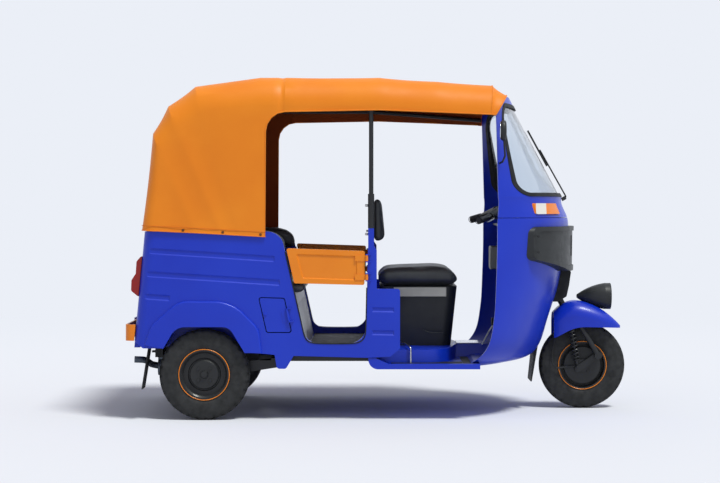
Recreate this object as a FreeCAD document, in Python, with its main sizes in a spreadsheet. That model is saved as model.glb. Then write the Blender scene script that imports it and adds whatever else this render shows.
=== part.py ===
import FreeCAD, Part
import math
import os
import re

import Sketcher

# Auto rickshaw: a three-wheeled taxi with a steel tub, a folding canopy and scooter steering.
# Millimetres. +X is forward, +Y is the vehicle's left, +Z is up. The origin lies on the
# ground under the middle of the whole length and width.

V = FreeCAD.Vector

SIZES = {
    # wheels
    "wheel_base": 2000,
    "rear_axle_x": -913,
    "track": 1150,
    "tyre_radius": 233,
    "tyre_width": 108,
    "tyre_wall": 10,
    "tread_half": 40,
    "flange_radius": 132,
    "seat_radius": 124,
    "rim_gauge": 4,
    "rim_half": 48,
    "axle_radius": 12,
    "rear_drum_radius": 80,
    "front_drum_radius": 94,
    "drum_half": 30,
    "hub_boss_radius": 18,
    "hub_boss_reach": 50,
    "running_gap": 0.3,
    # tub
    "body_half": 640,
    "wall": 28,
    "corner_radius": 60,
    "tub_tail_x": -1221,
    "tub_tail_lean": 52,
    "tub_top_z": 966,
    "tub_bottom_z": 369,
    "sill_z": 327,
    "doorway_z": 394,
    "doorway_rear_x": -502,
    "doorway_lean": 110,
    "post_x": -58,
    "post_top_z": 983,
    "post_half": 15,
    "post_foot_half": 27,
    "seat_panel_front_x": 90,
    "seat_panel_z": 673,
    "arch_half": 218,
    "arch_top_z": 479,
    "arch_round": 80,
    "flare_width": 115,
    "flare_rise": 18,
    "flare_round": 10,
    "swage_depth": 5,
    "floor_z": 358,
    "floor_gauge": 12,
    "housing_gauge": 5,
    "housing_depth": 142,
    "rail_half": 22,
    "rail_y": 70,
    "rear_rail_y": 217,
    "rail_height": 46,
    "arm_pivot_x": -515,
    "arm_pivot_z": 293,
    "arm_inner_y": 475,
    "arm_depth": 40,
    "damper_x": -822,
    "damper_y": 425,
    "plate_spacing": 140,
    "plate_hole_radius": 3.2,
    "tow_radius": 10,
    "stay_radius": 20,
    "hinge_radius": 7,
    "pin_radius": 4,
    "stud_radius": 7,
    "stud_circle": 42,
    "hub_disc_radius": 76,
    "dish": 22,
    # driver's floor
    "step_z": 285,
    "step_bottom_z": 262,
    "step_front_x": 500,
    "tunnel_half": 105,
    "tunnel_z": 355,
    "tunnel_front_x": 640,
    "plinth_half": 540,
    # cowl and windscreen
    "cowl_wall": 24,
    "nose_x": 1008,
    "cowl_door_x": 588,
    "screen_base_z": 1145,
    "screen_top_z": 1700,
    "screen_base_nose": 975,
    "screen_top_nose": 674,
    "screen_top_door_x": 577,
    "screen_half": 585,
    "seam_z": 1034,
    "seam_gap": 3,
    "screen_sill": 1,
    "screen_head_z": 1632,
    "header_z": 1672,
    "seal_width": 20,
    "glass_gauge": 5,
    # canopy
    "canopy_wall": 9,
    "cloth_gap": 0.3,
    "hem_front_x": -598,
    "hem_front_z": 937,
    "rail_z": 1578,
    "roof_z": 1762,
    "roof_round": 150,
    "bow_radius": 11,
    # steering
    "rake": 28,
    "steer_x": 980,
    "steer_z": 568,
    "column_radius": 17,
    "column_top": 574,
    "leg_radius": 14,
    "leg_y": 88,
    "pivot_x": 1168,
    "pivot_z": 289,
    "fender_half": 112,
    "fender_gauge": 3,
    "lamp_radius": 71,
    "bar_radius": 12,
    "bar_tilt": 19,
    "grip_half": 340,
    # seats
    "driver_seat_half": 300,
    "driver_seat_rear_x": -21,
    "driver_seat_front_x": 398,
    "driver_seat_z": 779,
    "driver_cushion_depth": 108,
    "bench_front_x": -398,
    "bench_back_x": -850,
    "bench_top_z": 712,
    "bench_base_z": 648,
    "bench_half": 600,
}

doc = FreeCAD.newDocument("AutoRickshaw")
sheet = doc.addObject("Spreadsheet::Sheet", "sizes")
for row, (alias, number) in enumerate(SIZES.items(), start=1):
    sheet.set(f"A{row}", alias)
    sheet.set(f"B{row}", str(number))
    sheet.setAlias(f"B{row}", alias)
doc.recompute()


def cells(text):
    """Expression with the sheet's name put before each of its cells."""
    return re.sub(r"[a-z][a-z_0-9]*", lambda m: f"sizes.{m[0]}" if m[0] in SIZES else m[0], str(text))


def size(text):
    """Number that an expression of cells gives."""
    return float(sheet.evalExpression(cells(text)))


def bind(thing, **bindings):
    """Bind properties to cells; two underscores in a name stand for a point."""
    for name, text in bindings.items():
        thing.setExpression(name.replace("__", "."), cells(text))


def place(thing, x="0", y="0", z="0"):
    bind(thing, Placement__Base__x=x, Placement__Base__y=y, Placement__Base__z=z)
    return thing


def new_body(name):
    body = doc.addObject("PartDesign::Body", name)
    body.Label = name
    return body


def new_sketch(body, role, lift="0"):
    """Sketch on one of the body's own planes, raised along that plane's normal."""
    sketch = body.newObject("Sketcher::SketchObject", f"{body.Name}_sketch")
    plane = next(datum for datum in body.Origin.OriginFeatures if datum.Role == role)
    sketch.AttachmentSupport = [(plane, "")]
    sketch.MapMode = "FlatFace"
    bind(sketch, AttachmentOffset__Base__z=lift)
    return sketch


def outline(sketch, corners, bows=None):
    """Closed loop. A corner is (across, up) or (across, up, radius) in cell expressions.
    bows maps a corner's place in the list to (radius, side): the edge that leaves it is an
    arc which bulges to the left (1) or to the right (-1)."""
    bows = bows or {}
    points = [V(size(corner[0]), size(corner[1]), 0) for corner in corners]
    radii = [size(corner[2]) if len(corner) > 2 else 0 for corner in corners]
    count = len(points)
    leave, arrive, arcs = [], [], []
    for i, here in enumerate(points):
        back, ahead = points[i - 1] - here, points[(i + 1) % count] - here
        if not radii[i]:
            leave.append(here)
            arrive.append(here)
            arcs.append(None)
            continue
        half = back.getAngle(ahead) / 2
        reach = radii[i] / math.tan(half)
        back.normalize()
        ahead.normalize()
        centre = here + (back + ahead).normalize() * (radii[i] / math.sin(half))
        arrive.append(here + back * reach)
        leave.append(here + ahead * reach)
        arcs.append(centre)

    def arc(centre, first, last, counterclockwise):
        angle = [math.atan2(end.y - centre.y, end.x - centre.x) for end in (first, last)]
        if not counterclockwise:
            angle.reverse()
        circle = Part.Circle(centre, V(0, 0, 1), first.distanceToPoint(centre))
        return Part.ArcOfCircle(circle, angle[0], angle[1] if angle[1] > angle[0] else angle[1] + 2 * math.pi)

    rules, bound = [], []
    edges = []
    for i in range(count):
        first, last = leave[i], arrive[(i + 1) % count]
        if i in bows:
            radius, side = size(bows[i][0]), bows[i][1]
            chord = last - first
            normal = V(chord.y, -chord.x, 0).normalize() * side
            sink = math.sqrt(radius ** 2 - chord.Length ** 2 / 4)
            centre = (first + last) * 0.5 + normal * sink
            index = sketch.addGeometry(arc(centre, first, last, side < 0))
            edges.append((index, 1, 2) if side < 0 else (index, 2, 1))
            rules.append(Sketcher.Constraint("Radius", index, radius))
            bound.append((len(rules) - 1, bows[i][0]))
        else:
            index = sketch.addGeometry(Part.LineSegment(first, last))
            edges.append((index, 1, 2))
    for i, corner in enumerate(corners):
        before, _, before_end = edges[i - 1]
        after, after_start, _ = edges[i]
        if arcs[i] is None:
            rules.append(Sketcher.Constraint("Coincident", before, before_end, after, after_start))
            marker, spot = after, after_start
        else:
            turn = (points[i] - points[i - 1]).cross(points[(i + 1) % count] - points[i]).z
            index = sketch.addGeometry(arc(arcs[i], arrive[i], leave[i], turn > 0))
            start, end = (1, 2) if turn > 0 else (2, 1)
            marker = sketch.addGeometry(Part.Point(points[i]), True)
            spot = 1
            rules.append(Sketcher.Constraint("Tangent", before, before_end, index, start))
            rules.append(Sketcher.Constraint("Tangent", index, end, after, after_start))
            rules.append(Sketcher.Constraint("PointOnObject", marker, 1, before))
            rules.append(Sketcher.Constraint("PointOnObject", marker, 1, after))
            rules.append(Sketcher.Constraint("Radius", index, radii[i]))
            bound.append((len(rules) - 1, corner[2]))
        for kind, text, number in (("DistanceX", corner[0], points[i].x), ("DistanceY", corner[1], points[i].y)):
            rules.append(Sketcher.Constraint(kind, -1, 1, marker, spot, number))
            bound.append((len(rules) - 1, text))
    base = sketch.ConstraintCount
    sketch.addConstraint(rules)
    for number, text in bound:
        sketch.setExpression(f"Constraints[{base + number}]", cells(text))
    return sketch


def circles(sketch, *rounds):
    """Circles, each (across, up, radius) in cell expressions."""
    for across, up, radius in rounds:
        centre = V(size(across), size(up), 0)
        index = sketch.addGeometry(Part.Circle(centre, V(0, 0, 1), size(radius)))
        base = sketch.ConstraintCount
        sketch.addConstraint([
            Sketcher.Constraint("DistanceX", -1, 1, index, 3, centre.x),
            Sketcher.Constraint("DistanceY", -1, 1, index, 3, centre.y),
            Sketcher.Constraint("Radius", index, size(radius)),
        ])
        for step, text in enumerate((across, up, radius)):
            sketch.setExpression(f"Constraints[{base + step}]", cells(text))
    return sketch


def feature(kind, sketch, **bindings):
    """PartDesign feature of a sketch, with its sizes bound to cells."""
    body = sketch.getParentGeoFeatureGroup()
    made = body.newObject(f"PartDesign::{kind}", f"{body.Name}_{kind.lower()}")
    made.Profile = sketch
    bind(made, **bindings)
    return made


def pad(sketch, length, middle=False, backwards=False):
    made = feature("Pad", sketch, Length=length)
    made.SideType = "Symmetric" if middle else "One side"
    made.Reversed = backwards
    return made


def pocket(sketch, length="0", middle=False, through=False, backwards=False):
    made = feature("Pocket", sketch)
    made.SideType = "Symmetric" if middle else "One side"
    made.Reversed = backwards
    if through:
        made.Type = "ThroughAll"
    else:
        bind(made, Length=length)
    return made


def revolve(sketch, axis="H_Axis", kind="Revolution"):
    made = feature(kind, sketch)
    made.ReferenceAxis = (sketch, [axis])
    made.Angle = 360
    return made


def fillet(body, radius, chosen):
    """Round the edges of the body's last feature that the test picks."""
    doc.recompute()
    tip = body.Tip
    names = [f"Edge{i}" for i, edge in enumerate(tip.Shape.Edges, start=1) if chosen(edge)]
    made = body.newObject("PartDesign::Fillet", f"{body.Name}_fillet")
    made.Base = (tip, names)
    bind(made, Radius=radius)
    return made


def side_plate(name, corners, near, depth, bows=None, middle=False):
    """Body padded sideways from a side outline; near is the distance right of the centre."""
    body = new_body(name)
    pad(outline(new_sketch(body, "XZ_Plane", near), corners, bows), depth, middle)
    return body


def mirrored(source, name):
    made = doc.addObject("Part::Mirroring", name)
    made.Label = name
    made.Source = source
    made.Normal = V(0, 1, 0)
    return made


def joined(kind, name, *pieces):
    """Part::MultiFuse, Part::MultiCommon or Part::Compound of pieces."""
    made = doc.addObject(f"Part::{kind}", name)
    made.Label = name
    if kind == "Compound":
        made.Links = list(pieces)
    else:
        made.Shapes = list(pieces)
    return made


def cut(name, base, tool):
    made = doc.addObject("Part::Cut", name)
    made.Label = name
    made.Base = base
    made.Tool = tool
    return made


def both_sides(name, right):
    """One node with the right-hand piece and its mirror image."""
    return joined("Compound", name, right, mirrored(right, f"{name}_other"))


def bent_tube(points, radius, bend):
    """Round bar along straight runs joined by tangent arcs of one bend radius."""
    edges = []
    start = points[0]
    for before, here, ahead in zip(points, points[1:], points[2:]):
        back, on = before - here, ahead - here
        half = back.getAngle(on) / 2
        reach = bend / math.tan(half)
        back.normalize()
        on.normalize()
        first, last = here + back * reach, here + on * reach
        middle = here + (back + on).normalize() * (bend / math.sin(half) - bend)
        edges.append(Part.LineSegment(start, first).toShape())
        edges.append(Part.Arc(first, middle, last).toShape())
        start = last
    edges.append(Part.LineSegment(start, points[-1]).toShape())
    path = Part.Wire(edges)
    ring = Part.Wire(Part.makeCircle(radius, points[0], points[1] - points[0]))
    return path.makePipeShell([ring], True, False)


def solid_feature(name, shape):
    """Sub-part whose bent form has no sketch; its sizes are read from the sheet."""
    made = doc.addObject("Part::Feature", name)
    made.Label = name
    made.Shape = shape
    return made


def point(x, y, z):
    return V(size(x), size(y), size(z))


NODES = {}


def node(thing):
    NODES[thing.Label] = thing
    return thing


# Wheels

def make_tyre(name, x, y):
    """Hollow carcass with a rounded shoulder each side, open at the bead."""
    body = new_body(name)
    half, bead = "tyre_width / 2", "rim_half - rim_gauge - running_gap"
    seat = "seat_radius + running_gap"
    side = [
        (f"-({bead})", seat), (f"-({bead})", "flange_radius + 1"), (f"-({half})", f"{seat} + 36", "40"),
        ("-tread_half", "tyre_radius", "24"), ("tread_half", "tyre_radius", "24"),
        (half, f"{seat} + 36", "40"), (bead, "flange_radius + 1"), (bead, seat), (f"{bead} - tyre_wall", seat),
        (f"{half} - tyre_wall", f"{seat} + 36", "30"),
        ("tread_half - tyre_wall / 2", "tyre_radius - tyre_wall", "14"),
        ("-(tread_half - tyre_wall / 2)", "tyre_radius - tyre_wall", "14"),
        (f"-({half} - tyre_wall)", f"{seat} + 36", "30"), (f"-({bead} - tyre_wall)", seat),
    ]
    revolve(outline(new_sketch(body, "YZ_Plane"), side))
    return node(place(body, x, y, "tyre_radius"))


def make_wheel(name, x, y, drum, outward=-1):
    """Pressed rim, dished disc and brake drum about one axle bore."""
    body = new_body(name)
    out = "-1" if outward < 0 else "1"
    inner = "seat_radius - rim_gauge"
    flank = [
        ("rim_half", "flange_radius"), ("rim_half - rim_gauge", "flange_radius"),
        ("rim_half - rim_gauge", "seat_radius"), ("-(rim_half - rim_gauge)", "seat_radius"),
        ("-(rim_half - rim_gauge)", "flange_radius"), ("-rim_half", "flange_radius"),
        ("-rim_half", inner), ("dish - rim_gauge", inner), ("dish - rim_gauge", drum), ("-drum_half", drum),
        ("-drum_half", "axle_radius"), ("hub_boss_reach", "axle_radius"),
        ("hub_boss_reach", "hub_boss_radius"), ("dish + 18", "hub_boss_radius + 4"),
        ("dish + 18", "hub_disc_radius - 6", "3"), ("dish + 12", "hub_disc_radius", "3"),
        ("dish - 1", "hub_disc_radius"), ("dish - 1", "hub_disc_radius + 5"), ("dish + 3", "hub_disc_radius + 9"),
        ("dish", "seat_radius - 16"), ("dish + 10", inner), ("rim_half", inner),
    ]
    revolve(outline(new_sketch(body, "YZ_Plane"), [(f"{out} * ({a})", *r) for a, *r in flank]))
    stud = new_sketch(body, "XZ_Plane", "dish + 17" if outward < 0 else "-(dish + 17)")
    circles(stud, ("stud_circle * sqrt(0.5)", "stud_circle * sqrt(0.5)", "stud_radius"))
    studs = pad(stud, "7", backwards=outward > 0)
    ring = body.newObject("PartDesign::PolarPattern", f"{name}_studs")
    ring.Originals = [studs]
    ring.Axis = (new_sketch(body, "XZ_Plane"), ["N_Axis"])
    ring.Angle = 360
    ring.Occurrences = 4
    body.Tip = ring
    return node(place(body, x, y, "tyre_radius"))


rear_y = "-track / 2"
rear_tyre = make_tyre("rear_tyre_right", "rear_axle_x", rear_y)
node(mirrored(rear_tyre, "rear_tyre_left"))
rear_wheel = make_wheel("rear_rim_right", "rear_axle_x", rear_y, "rear_drum_radius")
node(mirrored(rear_wheel, "rear_rim_left"))
make_tyre("front_tyre", "rear_axle_x + wheel_base", "0")
make_wheel("front_rim", "rear_axle_x + wheel_base", "0", "front_drum_radius", outward=1)


# Side panels

tail = "tub_tail_x"
lean = "tub_tail_lean"


def tail_x(up):
    """Outer face of the leaning tail at a height."""
    return f"(tub_tail_x - tub_tail_lean * (tub_top_z - ({up})) / (tub_top_z - tub_bottom_z - 36))"


arch_mid = "rear_axle_x + 12"
doorway_rear_foot = "doorway_rear_x + doorway_lean"
ARCH = [
    (f"{arch_mid} + arch_half - 20", "sill_z + 20"),
    (f"{arch_mid} + arch_half - 100", "arch_top_z", "arch_round - 20"),
    (f"{arch_mid} - arch_half + 64", "arch_top_z", "arch_round"),
    (f"{arch_mid} - arch_half", "tub_bottom_z"),
]
FLARE = [
    (f"{arch_mid} + arch_half + flare_width * 0.58", "sill_z + 20"),
    (f"{arch_mid} + arch_half + flare_width * 0.46", "arch_top_z - 9", "arch_round + 20"),
    (f"{arch_mid} + arch_half - flare_width * 0.76", "arch_top_z + flare_width + 16", "arch_round + 140"),
    (f"{arch_mid} - arch_half + flare_width * 0.69", "arch_top_z + flare_width + 18", "arch_round + 40"),
    (f"{arch_mid} - arch_half - flare_width * 0.55", "arch_top_z + 5", "arch_round + 20"),
    (f"{arch_mid} - arch_half - flare_width * 0.84", "tub_bottom_z + 19"),
]
SIDE = [
    (tail, "tub_top_z"), ("doorway_rear_x - 19", "tub_top_z", "85"), (doorway_rear_foot, "doorway_z", "80"),
    ("post_x - post_foot_half", "doorway_z", "88"), ("post_x - 16", "tub_top_z - 93"),
    ("post_x - post_half", "tub_top_z - 75"),
    ("post_x - post_half", "post_top_z"), ("post_x + post_half", "post_top_z"),
    ("post_x + post_half", "tub_top_z - 75"), ("post_x + post_foot_half + 2", "tub_top_z - 95"),
    ("post_x + post_foot_half + 2", "seat_panel_z", "6"), ("seat_panel_front_x", "seat_panel_z", "14"),
    ("seat_panel_front_x", "sill_z + 40", "10"), ("seat_panel_front_x - 50", "sill_z"),
    ("post_x - 12", "sill_z - 6"), ("arm_pivot_x + 61", "sill_z + 4"),
    ("arm_pivot_x + 22", "arm_pivot_z - 28", "16"), ("arm_pivot_x - 24", "arm_pivot_z - 28", "16"),
    ("arm_pivot_x - 36", "sill_z + 9"), (f"{arch_mid} + arch_half + flare_width / 2 + 30", "sill_z + 14"),
] + ARCH + [
    (f"{tail} - {lean} + 50", "tub_bottom_z"), (f"{tail} - {lean}", "tub_bottom_z + 36"),
]
SWAGES = [
    [(f"{tail} - 8", "tub_top_z - 80"), ("doorway_rear_x - 46", "tub_top_z - 123", "8"),
     ("doorway_rear_x - 50", "tub_top_z - 156", "8"), (f"{tail} - 8", "tub_top_z - 112")],
    [(f"{tail} - 20", "tub_top_z - 198"), ("doorway_rear_x - 22", "tub_top_z - 244", "8"),
     ("doorway_rear_x - 20", "tub_top_z - 278", "8"), (f"{tail} - 20", "tub_top_z - 230")],
    [(f"{tail} - 30", "tub_top_z - 312"), (f"{tail} + 138", "tub_top_z - 325", "8"),
     (f"{tail} + 134", "tub_top_z - 356", "8"), (f"{tail} - 30", "tub_top_z - 344")],
    [("post_x + 4", "sill_z + 254"), ("post_x + 118", "sill_z + 252"),
     ("post_x + 118", "sill_z + 226"), ("post_x + 4", "sill_z + 228")],
    [("post_x + 4", "sill_z + 137"), ("post_x + 118", "sill_z + 135"),
     ("post_x + 118", "sill_z + 108"), ("post_x + 4", "sill_z + 110")],
]
FLAP = [
    ("-636", "632", "14"), ("-499", "628", "14"), ("-461", "448", "14"), ("-594", "448", "14"),
]


def make_side_panel(name, filler):
    """Right-hand panel of the tub, turned in at its rear corner."""
    body = side_plate(name, SIDE, "body_half - corner_radius - 8", "corner_radius + 8")
    fillet(body, "corner_radius", lambda edge: is_tail_edge(edge))
    hollow = new_sketch(body, "XZ_Plane", "body_half - wall")
    outline(hollow, [
        (f"{tail_x('tub_top_z + 60')} + wall", "tub_top_z + 60"), ("seat_panel_front_x + 60", "tub_top_z + 60"),
        ("seat_panel_front_x + 60", "sill_z - 80"), (f"{tail_x('sill_z - 80')} + wall", "sill_z - 80"),
    ])
    pocket(hollow, "corner_radius")
    for swage in SWAGES:
        pocket(outline(new_sketch(body, "XZ_Plane", "body_half"), swage), "swage_depth").TaperAngle = -50
    flare = outline(new_sketch(body, "XZ_Plane", "body_half - 1"), FLARE + ARCH[::-1])
    pad(flare, "flare_rise + 1")
    fillet(body, "flare_round", lambda edge: is_flare_edge(edge))
    if filler:
        pocket(outline(new_sketch(body, "XZ_Plane", "body_half + 1"), FLAP), "wall + 2")
    return body


def is_tail_edge(edge):
    """Outer rear edge of the side panel, where the tub turns the corner."""
    box = edge.BoundBox
    return (box.YMax < size("-body_half + 1") and box.ZLength > 200
            and box.XMax < size("tub_tail_x + 5"))


def is_flare_edge(edge):
    """Outer edge of the raised flare, away from the arch's own edge."""
    box = edge.BoundBox
    in_arch = (abs(edge.CenterOfMass.x - size(arch_mid)) < size("arch_half + 8")
               and box.ZMax < size("arch_top_z + 3"))
    return (box.YMax < -size("body_half + flare_rise") + 0.5 and box.ZMax > size("tub_bottom_z + 21")
            and not in_arch)


def bar(name, radius, length, x, y, z, axis=None):
    """Round bar from a point, upright or along another axis."""
    made = doc.addObject("Part::Cylinder", name)
    if axis:
        made.Placement = FreeCAD.Placement(V(), FreeCAD.Rotation(V(0, 0, 1), axis))
    bind(made, Radius=radius, Height=length)
    return place(made, x, y, z)


def block(name, length, width, height, x, y, z):
    """Straight block from its lowest corner."""
    made = doc.addObject("Part::Box", name)
    bind(made, Length=length, Width=width, Height=height)
    return place(made, x, y, z)



def hinge(name, place_at, along, toward, outward, length, leaf):
    """Knuckle with its leaf, and the pin between two lugs that carries it. The pin stands
    one radius and 1 mm off the panels' outer face; toward points from it to the moving panel."""
    radius, gap = size("hinge_radius"), size("running_gap")
    thick, lug = 3, 6
    base = place_at - along * (length / 2)

    def slab(start, span, low, high, first, width):
        """Straight block in the hinge's own directions."""
        corner = base + toward * start + outward * low + along * first
        face = Part.makePolygon([corner, corner + toward * span, corner + toward * span + outward * (high - low),
                                 corner + outward * (high - low), corner])
        return Part.Face(face).extrude(along * width)

    knuckle = Part.makeCylinder(radius, length, base, along).fuse(slab(0, leaf, -radius - 1, thick - radius - 1, 0, length))
    knuckle = knuckle.cut(Part.makeCylinder(size("pin_radius") + gap, length, base, along))
    pin = Part.makeCylinder(size("pin_radius"), length + 2 * lug, base - along * lug, along)
    lugs = []
    for first in (-lug, length + 1):
        lugs.append(slab(-radius - 16, radius + 16, -radius - 1, radius, first, lug - 1))
        lugs.append(Part.makeCylinder(radius, lug - 1, base + along * first, along))
    fixed = pin.multiFuse(lugs)
    return (solid_feature(f"{name}_knuckle", knuckle.removeSplitter()),
            solid_feature(f"{name}_pin", fixed.removeSplitter()))


def right_side_hinge(name, x, z, slope, length, leaf):
    """Hinge on the right flank whose axis leans back by a slope of x over z."""
    along = V(slope, 0, 1).normalize()
    toward = V(-along.z, 0, along.x)
    spot = V(size(x), -size("body_half + hinge_radius + 1"), size(z))
    return hinge(name, spot, along, toward, V(0, -1, 0), length, leaf)


door_hinges = [right_side_hinge(f"door_hinge_{level}", "post_x - 22", height, 0, 30, 60)
               for level, height in (("low", "733"), ("high", "830"))]
door_pins = [pins for _, pins in door_hinges]
flap_slope = size("-38 / 180")
flap_hinge = right_side_hinge("flap_hinge", "-482.5", "537.5", flap_slope, 60, 30)
plain_panel = make_side_panel("plain_side_panel", filler=False)
node(mirrored(joined("MultiFuse", "left_panel", plain_panel, *door_pins), "side_panel_left"))
node(joined("MultiFuse", "side_panel_right", make_side_panel("right_panel", filler=True), *door_pins, flap_hinge[1]))
flap_body = side_plate("flap_plate", [
    ("-630", "627", "10"), ("-503", "623", "10"), ("-467.5", "453", "10"), ("-590", "453", "10")],
    "body_half - 12", "12")
node(joined("MultiFuse", "fuel_flap", flap_body, flap_hinge[0]))


# Rear panel, lid, floor and seat box

lid_low, lid_high = "tub_bottom_z + 130", "tub_top_z - 90"
lid_half = "320"
rear_panel = side_plate("rear_plate", [
    (tail_x("tub_top_z"), "tub_top_z"), (tail_x("tub_bottom_z"), "tub_bottom_z"),
    (f"{tail_x('tub_bottom_z')} + wall", "tub_bottom_z"), (f"{tail_x('tub_top_z')} + wall", "tub_top_z"),
], "0", "2 * (body_half - corner_radius - 8)", middle=True)
pocket(outline(new_sketch(rear_panel, "YZ_Plane"), [
    (f"-{lid_half}", lid_low, "8"), (lid_half, lid_low, "8"),
    (lid_half, lid_high, "8"), (f"-{lid_half}", lid_high, "8")]), through=True, middle=True)
lid_out = V(-size("tub_top_z - tub_bottom_z - 36"), 0, size("tub_tail_lean")).normalize()
lid_top = point(tail_x(f"{lid_high} - 2.5"), 0, f"{lid_high} - 2.5") + lid_out * size("hinge_radius + 1")
lid_hinges = [hinge(f"lid_hinge_{side}", lid_top + V(0, hand * 200, 0), V(0, 1, 0), V(-lid_out.z, 0, lid_out.x),
                    lid_out, 50, 45) for side, hand in (("right", -1), ("left", 1))]
node(joined("MultiFuse", "rear_panel", rear_panel, *[pins for _, pins in lid_hinges]))
lid = side_plate("lid_plate", [
    (tail_x(lid_high + " - 5"), f"{lid_high} - 5"), (tail_x(lid_low + " + 5"), f"{lid_low} + 5"),
    (f"{tail_x(lid_low + ' + 5')} + 20", f"{lid_low} + 5"), (f"{tail_x(lid_high + ' - 5')} + 20", f"{lid_high} - 5"),
], "0", f"2 * ({lid_half} - 5)", middle=True)
louvre = outline(new_sketch(lid, "YZ_Plane", "tub_tail_x"), [
    ("-240", f"{lid_low} + 60", "5"), ("240", f"{lid_low} + 60", "5"),
    ("240", f"{lid_low} + 72", "5"), ("-240", f"{lid_low} + 72", "5")])
slot = pocket(louvre, through=True, middle=True)
rows = lid.newObject("PartDesign::LinearPattern", "engine_lid_louvres")
rows.Originals = [slot]
rows.Direction = (louvre, ["V_Axis"])
rows.Length = 210
rows.Occurrences = 7
lid.Tip = rows
node(joined("MultiFuse", "engine_lid", lid, *[knuckle for knuckle, _ in lid_hinges]))

inner_half = "body_half - wall - running_gap"
floor = side_plate("floor_pan", [
    (f"{doorway_rear_foot} - 30", "floor_z"), ("post_x + 30 - running_gap", "floor_z"),
    ("post_x + 30 - running_gap", "floor_z - floor_gauge"), (f"{doorway_rear_foot} - 30", "floor_z - floor_gauge"),
], "0", f"2 * ({inner_half})", middle=True)
node(floor)

seat_box = side_plate("passenger_seat_base", [
    ("bench_back_x - 30", "bench_base_z"), ("bench_front_x - 56", "bench_base_z"),
    ("bench_front_x + 6", "floor_z"), ("bench_front_x - 10", "floor_z"),
    ("bench_front_x - 69", "bench_base_z - 16"), ("bench_back_x - 14", "bench_base_z - 16"),
    ("bench_back_x - 14", "floor_z + 160"), ("bench_back_x - 30", "floor_z + 160"),
], "0", f"2 * ({inner_half})", middle=True)
slots = outline(new_sketch(seat_box, "YZ_Plane", "bench_front_x - 150"), [
    ("-520", "floor_z + 40", "8"), ("-502", "floor_z + 40", "8"),
    ("-502", "bench_base_z - 60", "8"), ("-520", "bench_base_z - 60", "8")])
first_slot = pocket(slots, "160", backwards=True)
row = seat_box.newObject("PartDesign::LinearPattern", "seat_base_slots")
row.Originals = [first_slot]
row.Direction = (slots, ["H_Axis"])
row.Length = 1022
row.Occurrences = 15
seat_box.Tip = row
node(seat_box)

shelf = side_plate("rear_shelf", [
    ("bench_back_x - 30.3", "bench_base_z"), (f"{tail_x('bench_base_z')} + wall + running_gap", "bench_base_z"),
    (f"{tail_x('bench_base_z - 14')} + wall + running_gap", "bench_base_z - 14"), ("bench_back_x - 30.3", "bench_base_z - 14"),
], "0", f"2 * ({inner_half})", middle=True)
node(shelf)

housing = side_plate("wheel_housing_right", [
    (f"{arch_mid} + arch_half + 8", "sill_z + 18"), (f"{arch_mid} + arch_half - 76", "arch_top_z + 8", "arch_round"),
    (f"{arch_mid} - arch_half + 56", "arch_top_z + 8", "arch_round"), (f"{arch_mid} - arch_half - 8", "tub_bottom_z"),
], "body_half - wall - housing_depth", "housing_depth - running_gap")
pocket(outline(new_sketch(housing, "XZ_Plane", "body_half - wall + 1"), [
    (f"{arch_mid} + arch_half + 3", "sill_z - 40"), (f"{arch_mid} + arch_half + 3", "sill_z + 18"),
    (f"{arch_mid} + arch_half - 78", "arch_top_z + 3", "arch_round"),
    (f"{arch_mid} - arch_half + 58", "arch_top_z + 3", "arch_round"),
    (f"{arch_mid} - arch_half - 3", "tub_bottom_z"), (f"{arch_mid} - arch_half - 3", "sill_z - 40")]),
    "housing_depth - housing_gauge + 1")
node(both_sides("wheel_housings", housing))

partition = side_plate("partition_panel", [
    ("post_x - 10", "floor_z"), ("post_x + 6", "floor_z"), ("post_x + 6", "tub_top_z - 100"),
    ("post_x - 10", "tub_top_z - 100"),
], "0", f"2 * ({inner_half})", middle=True)
node(partition)


# Driver's floor: tunnel, steps and plinth

TUNNEL_HOLLOW = [
    ("-(tunnel_half + 20)", "step_bottom_z - 5"), ("tunnel_half + 20", "step_bottom_z - 5"),
    ("tunnel_half + 20", "step_z - 14"), ("tunnel_half - 8", "floor_z - floor_gauge", "4"),
    ("-(tunnel_half - 8)", "floor_z - floor_gauge", "4"), ("-(tunnel_half + 20)", "step_z - 14"),
]
step_rear = "post_x + 30"


def hollowed(body, length):
    """Cut the frame's tunnel out of a body from the floor's rear edge."""
    pocket(outline(new_sketch(body, "YZ_Plane", f"{step_rear} - 1"), TUNNEL_HOLLOW), length, backwards=True)
    return body


step = new_body("driver_step")
pad(outline(new_sketch(step, "YZ_Plane", step_rear), [
    ("-(body_half - 4)", "step_bottom_z", "8"), ("body_half - 4", "step_bottom_z", "8"),
    ("body_half - 4", "step_z", "8"), ("-(body_half - 4)", "step_z", "8")]), f"step_front_x - ({step_rear})")
hollowed(step, "step_front_x - post_x")
tunnel = new_body("driver_tunnel")
pad(outline(new_sketch(tunnel, "YZ_Plane", step_rear), [
    ("-(tunnel_half + 34)", "step_bottom_z + 4"), ("tunnel_half + 34", "step_bottom_z + 4"),
    ("tunnel_half + 34", "step_z"), ("tunnel_half", "tunnel_z", "12"), ("-tunnel_half", "tunnel_z", "12"),
    ("-(tunnel_half + 34)", "step_z")]), f"tunnel_front_x - ({step_rear})")
hollowed(tunnel, "tunnel_front_x - post_x")
step_lip = side_plate("step_lip", [
    ("post_x - 14", "sill_z - 8"), ("post_x - 14", "step_bottom_z", "50"), ("step_front_x", "step_bottom_z"),
    ("step_front_x", "step_z + 4"), ("post_x + 90", "step_z + 4", "30"), ("post_x + 24", "sill_z - 8"),
], "body_half - 30", "26")
plinth = new_body("plinth_block")
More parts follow.
